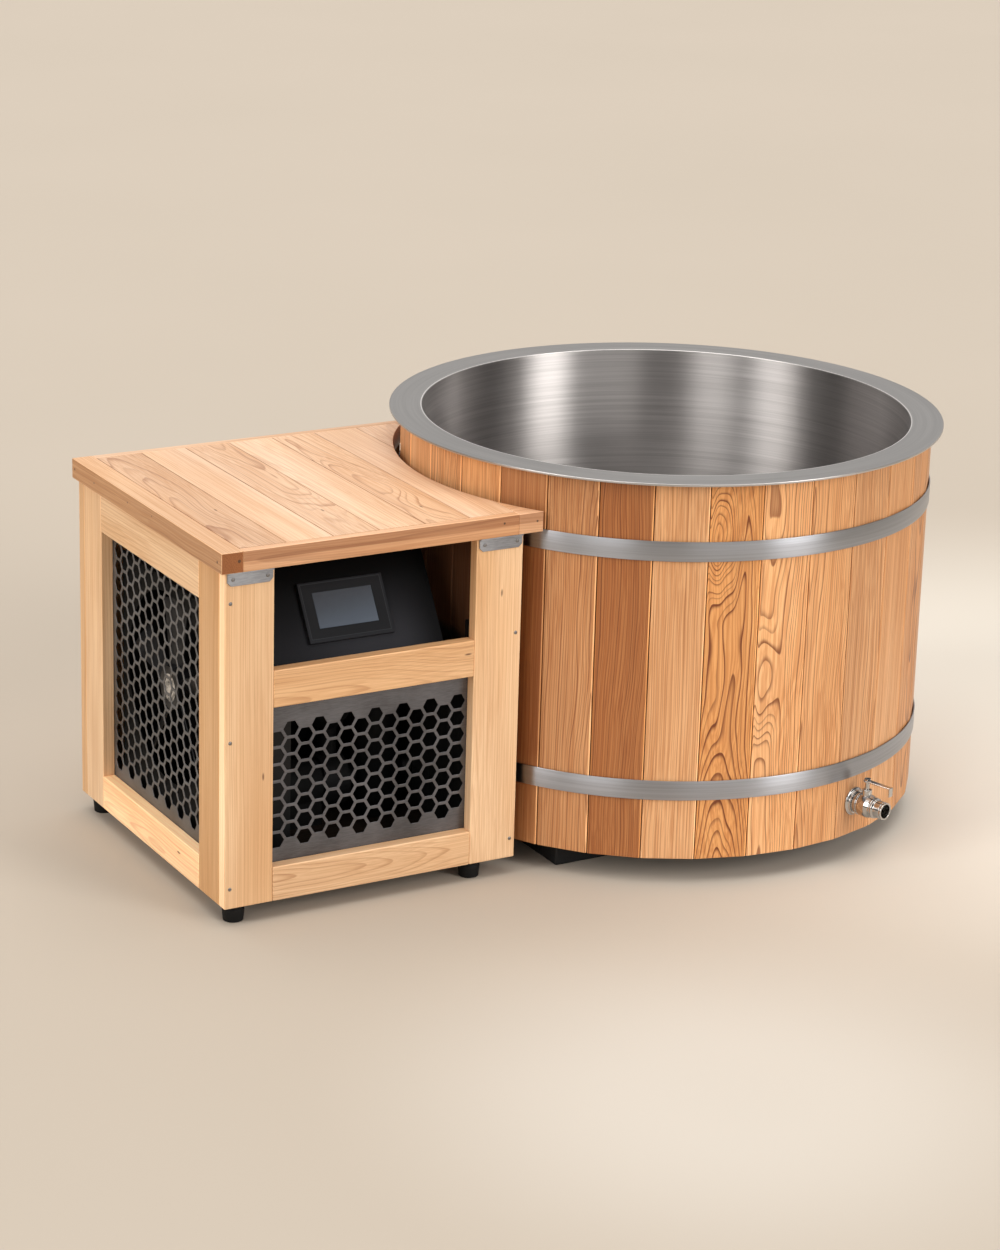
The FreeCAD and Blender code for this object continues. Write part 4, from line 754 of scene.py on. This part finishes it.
# Painted shade: the decks take the nearly black inner wood, seen only through the grilles.
cabinet_deck = grained(eased("cabinet_floor", deck_ease), X, chance)
piece("cabinet_deck_sawn_painted_shade", cabinet_deck, inner_wood, "inner_wood", "cabinet_floor")
floor_boards = grained(eased("floor_boards", deck_ease), X, chance)
piece("floor_boards_sawn_painted_shade", floor_boards, inner_wood, "inner_wood", "floor_boards")


# Cabinet feet
# Short black rubber feet, moulded with a rounded base and a groove under the top.
# Each is screwed into the end of a stile.
foot_r, foot_height = 0.024, 0.039
foot_taper, foot_edge, foot_groove, foot_ease = 0.003, 0.0008, 0.003, 0.002
foot_x, foot_y = (-1.163, -0.620), (-0.284, 0.380)
foot_steps = 48
foot_outline = rounded([(0.0, 0.0), (foot_r - foot_taper, 0.0), (foot_r - foot_edge, 0.026),
                        (foot_r - foot_groove, 0.028), (foot_r - foot_groove, 0.031), (foot_r, 0.033),
                        (foot_r, foot_height), (0.0, foot_height)], foot_ease, 3)
feet = bmesh.new()
for x in foot_x:
    for y in foot_y:
        add_shape(feet, lathe(foot_outline, foot_steps, Matrix.Translation((x, y, 0))))
piece("cabinet_feet_moulded", feet, rubber, "foot_rubber", "cabinet_feet")


# Grilles
# Steel sheets with punched hexagons, fixed behind the openings of the front and the left side.
# The metal is dull grey, with cloudy marks from the mill.
def grille_finish(name, shade):
    """Dull rolled steel with cloudy mill marks and rub lines."""
    material, paint = finish(name, Metallic=0.75)
    place = place_of(paint)
    cloud = place.noise((9, 9, 9), 5.0)
    rub = place.noise((60, 60, 700), 3.0)
    mix = cloud * 0.6 + rub * 0.4
    paint.feed({
        "Base Color": mix.stepped(0.3, 0.7).between(toned(shade, 0.7), toned(shade, 1.35)),
        "Roughness": mix.stepped(0.3, 0.7, 0.36, 0.56),
        "Normal": rub.bumped(0.00004, 0.5),
    })
    return material


punched_ease = 0.0005
front_steel = grille_finish("front_grille_steel", (0.128, 0.126, 0.134))
left_steel = grille_finish("left_grille_steel", (0.165, 0.163, 0.167))
for grille, grille_steel in (("front_grille", front_steel), ("left_grille", left_steel)):
    piece(grille + "_punched", eased(grille, punched_ease), grille_steel, "grille_steel", grille)


# Cabinet top
# Cedar planks that run from front to back between a left rail, narrow front and rear strips and a
# block at the right, glued edge to edge, with a curved cut round the barrel. Sanded and oiled.
top_wood = timber("top_cedar", (0.96, 0.68, 0.47), (0.48, 0.22, 0.10), 0.0044, 0.46, 0.7, 0.50, 1.0,
                  plugs=[(-1.172, -0.328, 0.7716, 0.0042), (-1.210, -0.308, 0.769, 0.0036),
                         (-1.210, 0.409, 0.770, 0.0034), (-1.210, 0.305, 0.767, 0.0026),
                         (-1.210, 0.130, 0.772, 0.0024), (-1.210, 0.007, 0.776, 0.0020)])
edge_wood = timber("edge_cedar", (0.58, 0.30, 0.152), (0.27, 0.098, 0.037), 0.0050, 0.46, 0.7, 0.60,
                   heart=(0.769, 0.791),
                   plugs=[(-0.5816, -0.328, 0.776, 0.0030), (-0.5049, -0.328, 0.772, 0.0030)])
top_ease = 0.0015
dark_joints = -0.9
# The planks in order of place, with the same values as the boards of the frame.
plank_looks = [
    (0.62, 0.60, 0.16, 0.03, 0.05, 0.03, 0.02, -0.10, 0.010),
    (0.95, 0.20, 0.0, 0.15, 0.06, 0.004, 0, 0, 0),
    (0.80, 0.55, 0.10, -0.02, 0.05, -0.03, 0.01, -0.18, 0.012),
    (0.98, 0.30, 0.0, 0.05, 0.07, 0.02, 0, 0, 0),
    (0.84, 0.65, 0.10, 0.02, 0.05, 0.03, -0.01, -0.25, 0.014),
    (0.97, 0.15, 0.0, 0.16, 0.07, 0.002, 0, 0, 0),
    (0.90, 0.40, 0.06, -0.03, 0.06, 0.02, 0.02, -0.20, 0.008),
    (0.86, 0.30, 0.10, 0.06, 0.06, 0.01, 0, 0, 0),
]
left_rail_look = (0.76, 0.2, 0.36, 0.1, 0.06, 0.01, 0, 0, 0)
dark_side = (0.30, 0.30, 0.60)
planks = grained(eased("top_planks", top_ease), Y, chance, plank_looks, edge=dark_joints)
piece("top_planks_planed", planks, top_wood, "cedar_top", "top_planks")
left_rail = grained(eased("top_left_rail", top_ease), Y, chance, [left_rail_look])
tone_left_face(left_rail, dark_side)
piece("top_left_rail_planed", left_rail, top_wood, "cedar_top", "top_left_rail")
for node, wood in (("top_rear_strip", top_wood), ("top_front_strip", edge_wood),
                   ("top_right_block", edge_wood)):
    piece(node + "_planed", grained(eased(node, top_ease), X, chance), wood, "cedar_top", node)


# Corner brackets and screws
# Flat brackets of grey sheet with rounded corners hold the top to the front stiles. The screws have
# domed heads with a hexagon socket, and the posts have the same screws along their outer edges.
bracket_steel = grille_finish("bracket_grey_steel", (0.31, 0.32, 0.345))
bracket_ease = 0.0006
brackets = eased("corner_brackets", bracket_ease)
piece("corner_brackets_cut", brackets, bracket_steel, "bracket_steel", "corner_brackets")
screw_steel = speckled("screw_steel", (0.24, 0.23, 0.225), 0.34, Metallic=1.0)
screw_r, screw_high, socket_r = 0.004, 0.0016, 0.0019
tree, size = shape_tree("screw_heads", {"Places": "NodeSocketGeometry", "Radius": NUMBER, "Height": NUMBER,
                                        "Socket": NUMBER})
dome = size["Radius"].node("GeometryNodeMeshUVSphere", {}, {"Segments": 24, "Rings": 12, "Radius": 1.0})
dome = dome.node("GeometryNodeSetShadeSmooth", {}, {"Geometry": dome})
spread = dome.node("ShaderNodeCombineXYZ", {}, {0: size["Radius"], 1: size["Radius"], 2: size["Height"]})
dome = dome.node("GeometryNodeTransform", {}, {"Geometry": dome, "Scale": spread})
hollow = dome.node("GeometryNodeMeshCylinder", {},
                   {"Vertices": 6, "Radius": size["Socket"], "Depth": size["Height"]})
lifted = dome.node("ShaderNodeCombineXYZ", {}, {2: size["Height"] * 0.95})
hollow = dome.node("GeometryNodeTransform", {}, {"Geometry": hollow, "Translation": lifted})
head = dome.node("GeometryNodeMeshBoolean", {"operation": "DIFFERENCE"}, {"Mesh 1": dome, "Mesh 2": hollow})
heads = dome.node("GeometryNodeInstanceOnPoints", {},
                  {"Points": size["Places"], "Instance": head, "Rotation": (math.pi / 2, 0, 0)})
heads_cad = bmesh.new()
heads_cad.from_mesh(cad["frame_screws"].data)
bmesh.ops.remove_doubles(heads_cad, verts=heads_cad.verts, dist=1e-5)
places = []
for found in islands(heads_cad):
    middle = sum((vert.co for vert in found), Vector()) / len(found)
    places.append((middle.x, min(vert.co.y for vert in found) + screw_high, middle.z))
heads_cad.free()
screw_sizes = {"Radius": screw_r, "Height": screw_high, "Socket": socket_r}
screw_mesh = grown(tree, heads, screw_sizes, screw_steel, places)
piece("frame_screw_heads", screw_mesh, screw_steel, "bracket_steel", "frame_screws")


# Control panel and touch screen
# A folded black panel slopes back inside the recess, its paint darkened towards the top and both ends as
# painted shade.
# The screen stands on it in a moulded black bezel, with a pale line painted along its edge as a painted
# highlight of a step;
# the display is off and shows only a grey-blue painted reflection.
panel_black, paint = finish("panel_powder_coat_painted_shade", Roughness=0.55, Specular_IOR_Level=0.05)
place = place_of(paint)
x, y, z = place.parts()
peel = place.noise((1100,) * 3)
# Painted shade: the panel's paint darkens towards the top and both ends, leaving a painted sheen low in the
# middle.
upper_painted_shade = z.stepped(0.54, 0.68, 1.0, 0.05)
left_painted_shade = x.stepped(-1.05, -0.85, 0.5, 1.0)
right_painted_shade = x.stepped(-0.79, -0.69, 1.0, 0.12)
painted_sheen = upper_painted_shade * left_painted_shade * right_painted_shade * (peel * 0.4 + 0.8)
paint.feed({
    "Base Color": painted_sheen.between((0.0, 0.0, 0.0), (0.0275, 0.0285, 0.034)),
    "Normal": peel.bumped(0.00008),
})
bezel_low, bezel_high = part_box("screen_housing")
bezel_middle = (bezel_low + bezel_high) / 2
panel_slope = math.radians(58)
half_width, half_height = 0.095, 0.063
bezel_step, bezel_highlight_width = 0.0060, 0.0010
bezel_black, paint = finish("bezel_black_plastic", Roughness=0.44, Specular_IOR_Level=0.08)
place = place_of(paint)
x, y, z = place.parts()
over = x - bezel_middle.x
over = over.sum("ABSOLUTE", over)
up = (y - bezel_middle.y) * math.cos(panel_slope) + (z - bezel_middle.z) * math.sin(panel_slope)
up = up.sum("ABSOLUTE", up)
edge = up.sum("MINIMUM", half_width - over, half_height - up)
# Painted highlight: a thin pale line stands for a step in the bezel, and the border outside it is lighter.
highlight_line_start = edge.stepped(bezel_step - bezel_highlight_width, bezel_step)
painted_highlight_line = highlight_line_start * edge.stepped(bezel_step, bezel_step + bezel_highlight_width, 1.0, 0.0)
peel = place.noise((1600,) * 3)
bezel_tone = (peel * 0.3 + 0.85) * edge.stepped(bezel_step - bezel_highlight_width, bezel_step, 1.5, 1.0)
paint.feed({
    "Base Color": painted_highlight_line.between(bezel_tone * (0.0095, 0.0102, 0.0125), (0.034, 0.037, 0.043)),
    "Normal": peel.bumped(0.00004),
})
panel_ease, bezel_ease, glass_ease = 0.0008, 0.003, 0.0004
panel = eased("control_panel", panel_ease)
piece("control_panel_folded", panel, panel_black, "panel_black", "control_panel")
housing = eased("screen_housing", bezel_ease)
piece("screen_housing_moulded", housing, bezel_black, "screen_black", "screen_housing")
glass, paint = finish("display_glass", Roughness=0.30, Specular_IOR_Level=0.2)
place = place_of(paint)
x, y, z = place.parts()
# Painted reflection: a grey-blue sheen on the glass, lighter low down and to the right.
painted_sheen = ((0.645 - z) * 9.0 + (x + 0.90) * 1.2).stepped(-0.1, 0.9)
dust = place.noise((60, 60, 60), 3.0)
paint.feed({"Base Color": (painted_sheen + dust * 0.10).between((0.017, 0.022, 0.033), (0.073, 0.099, 0.142))})
piece("display_glass_set", eased("screen_glass", glass_ease), glass, "screen_glass", "screen_glass")


# Fan, coil and chiller inside the cabinet
# A black sheet shroud with a pressed ring carries the fan and its motor before a finned coil.
# Compressor, exchanger, filter, pump and pipes stand on the deck behind it.
inside_black = speckled("inside_satin_black", (0.006, 0.006, 0.006), 0.70, 700.0, Specular_IOR_Level=0.15)
fin_metal = speckled("fin_coated_aluminium", (0.02, 0.02, 0.02), 0.5, Metallic=0.6)
fan_y, fan_z = 0.051, 0.387
hub_cap = 0.030
fan_finish, paint = finish("fan_black_with_bright_cap")
place = place_of(paint)
x, y, z = place.parts()
from_middle = ((y - fan_y) * (y - fan_y) + (z - fan_z) * (z - fan_z)) ** 0.5
cap = from_middle.stepped(hub_cap - 0.001, hub_cap, 1.0, 0.0)
swept = place.noise((40, 40, 40), 3.0)
paint.feed({
    "Base Color": cap.between((0.008, 0.008, 0.009), (0.85, 0.85, 0.84)),
    "Metallic": cap,
    "Roughness": swept * 0.2 + 0.30 - cap * 0.15,
})
pump_black = speckled("pump_plastic", (0.006, 0.006, 0.0065), 0.6, 800.0, Specular_IOR_Level=0.2)
for node in ("fan_shroud", "compressor", "heat_exchanger", "fan_motor", "pump_motor"):
    keep(node, inside_black)
keep("fan_blades", fan_finish)
fin_pitch, fin_sheet = 0.004, 0.0005
coil_low, coil_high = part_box("condenser_coil")
coil_size = coil_high - coil_low
coil_middle = (coil_low + coil_high) / 2
tree, size = shape_tree("coil_fins", {"Count": WHOLE, "Pitch": NUMBER, "Sheet": NUMBER, "Depth": NUMBER,
                                      "Height": NUMBER, "First": "NodeSocketVector"})
gap = size["Pitch"].node("ShaderNodeCombineXYZ", {}, {1: size["Pitch"]})
row = gap.node("GeometryNodeMeshLine", {},
               {"Count": size["Count"], "Start Location": size["First"], "Offset": gap})
fin_size = gap.node("ShaderNodeCombineXYZ", {}, {0: size["Depth"], 1: size["Sheet"], 2: size["Height"]})
fin = gap.node("GeometryNodeMeshCube", {}, {"Size": fin_size})
fins = gap.node("GeometryNodeInstanceOnPoints", {}, {"Points": row, "Instance": fin})
fin_count = int((coil_size.y - fin_sheet) / fin_pitch) + 1
first_fin = (coil_middle.x, coil_middle.y - (fin_count - 1) * fin_pitch / 2, coil_middle.z)
fin_mesh = grown(tree, fins, {"Count": fin_count, "Pitch": fin_pitch, "Sheet": fin_sheet,
                              "Depth": coil_size.x, "Height": coil_size.z, "First": first_fin}, fin_metal)
piece("coil_fins_pressed", fin_mesh, fin_metal, "coil_aluminium", "condenser_coil")
for node in ("pump_casing", "pump_rotor", "filter_housing", "water_pipes"):
    keep(node, pump_black)
keep("power_inlet", bezel_black)


# Stage: pale floor, soft lights and the camera
# The floor is one plain sheet that reaches far behind the tub, with two soft pools of light painted on it.
floor_reach = 30.0
beside_spot, before_spot = (1.12, -0.06, 0), (-0.665, -1.405, 0)
beside_painted_light, before_painted_light = (0.45, 0.54, 0.64), (0.22, 0.28, 0.36)
floor_paint, paint = finish("stage_floor", Roughness=0.85)
place = place_of(paint)
cloud = place.noise((0.6, 0.6, 0.6), 2.0)
# Painted light: two soft pools of light on the floor, beside and before the tub.
beside_light_pool = place.far_from(beside_spot).stepped(0.5, 1.9, 1.0, 0.0)
before_light_pool = place.far_from(before_spot).stepped(0.15, 0.85, 1.0, 0.0)
floor_tone = cloud.between((0.513, 0.447, 0.368), (0.541, 0.470, 0.390))
paint.feed({"Base Color": floor_tone * (beside_light_pool * beside_painted_light + before_light_pool * before_painted_light + 1.0)})
floor_corners = [(-floor_reach, -floor_reach, 0), (floor_reach, -floor_reach, 0),
                 (floor_reach, floor_reach, 0), (-floor_reach, floor_reach, 0)]
floor_mesh = bpy.data.meshes.new("stage_floor")
floor_mesh.from_pydata(floor_corners, [], [(0, 1, 2, 3)])
floor_mesh.materials.append(floor_paint)
stage_floor = bpy.data.objects.new("stage_floor", floor_mesh)
bpy.context.scene.collection.objects.link(stage_floor)


# Soft light comes from all round, with tall bright panels to the left and the right, weaker ones
# between them, a dim one behind and a broad one overhead. The camera sees a plain pale wall instead.
world = bpy.data.worlds.new("studio")
bpy.context.scene.world = world
world.use_nodes = True
air = Shade(world.node_tree)
x_way, y_way, z_way = place_of(air).parts()
bearing = air.sum("ARCTAN2", y_way, x_way)
rise = air.sum("ARCSINE", z_way)


def light_panel(middle, half_width, low, high):
    """How bright a tall soft panel is in a direction, in degrees: 1 on the panel, 0 off it."""
    soft = 0.14
    turn = bearing - math.radians(middle)
    off = air.sum("ARCCOSINE", air.sum("COSINE", turn))
    side, below, above = math.radians(half_width), math.radians(low), math.radians(high)
    across = off.stepped(side, side + soft, 1.0, 0.0)
    return across * rise.stepped(below, below + soft) * rise.stepped(above, above + soft, 1.0, 0.0)


key = light_panel(-177, 6, 8, 45) * 6.3
near_key = light_panel(-145, 6, 4, 30) * 3.8
front = light_panel(-95, 10, 3, 11) * 3.2
right = light_panel(-62, 6, 4, 34) * 9.0
behind = light_panel(57, 55, 2, 45) * 0.66
overhead = rise.stepped(math.radians(46), math.radians(70)) * 2.45
ambient = 0.09
brightness = key + near_key + front + right + overhead + behind + ambient
light = air.node("ShaderNodeBackground", {}, {"Color": (1.0, 0.975, 0.945), "Strength": brightness})
wall = air.node("ShaderNodeBackground", {}, {"Color": (0.76, 0.66, 0.55), "Strength": 1.0})
to_camera = air.node("ShaderNodeLightPath", {}, {}, "Is Camera Ray")
sky = air.node("ShaderNodeMixShader", {}, {0: to_camera, 1: light, 2: wall})
world.node_tree.links.new(sky.socket, world.node_tree.nodes["World Output"].inputs["Surface"])
world.node_tree.nodes.remove(world.node_tree.nodes["Background"])

camera_place = Vector((-3.8801, -6.1003, 2.7665))
yaw, pitch, roll = 0.5186, 0.3205, 0.0286
lens = bpy.data.cameras.new("view")
lens.sensor_width = 36.0
lens.lens = 98.84
lens.clip_end = 100
camera = bpy.data.objects.new("view", lens)
look = Euler((math.pi / 2 - pitch, 0, -yaw)).to_matrix().to_4x4() @ Matrix.Rotation(roll, 4, "Z")
camera.matrix_world = Matrix.Translation(camera_place) @ look
bpy.context.scene.collection.objects.link(camera)
bpy.context.scene.camera = camera
bpy.context.scene.view_settings.view_transform = "Standard"
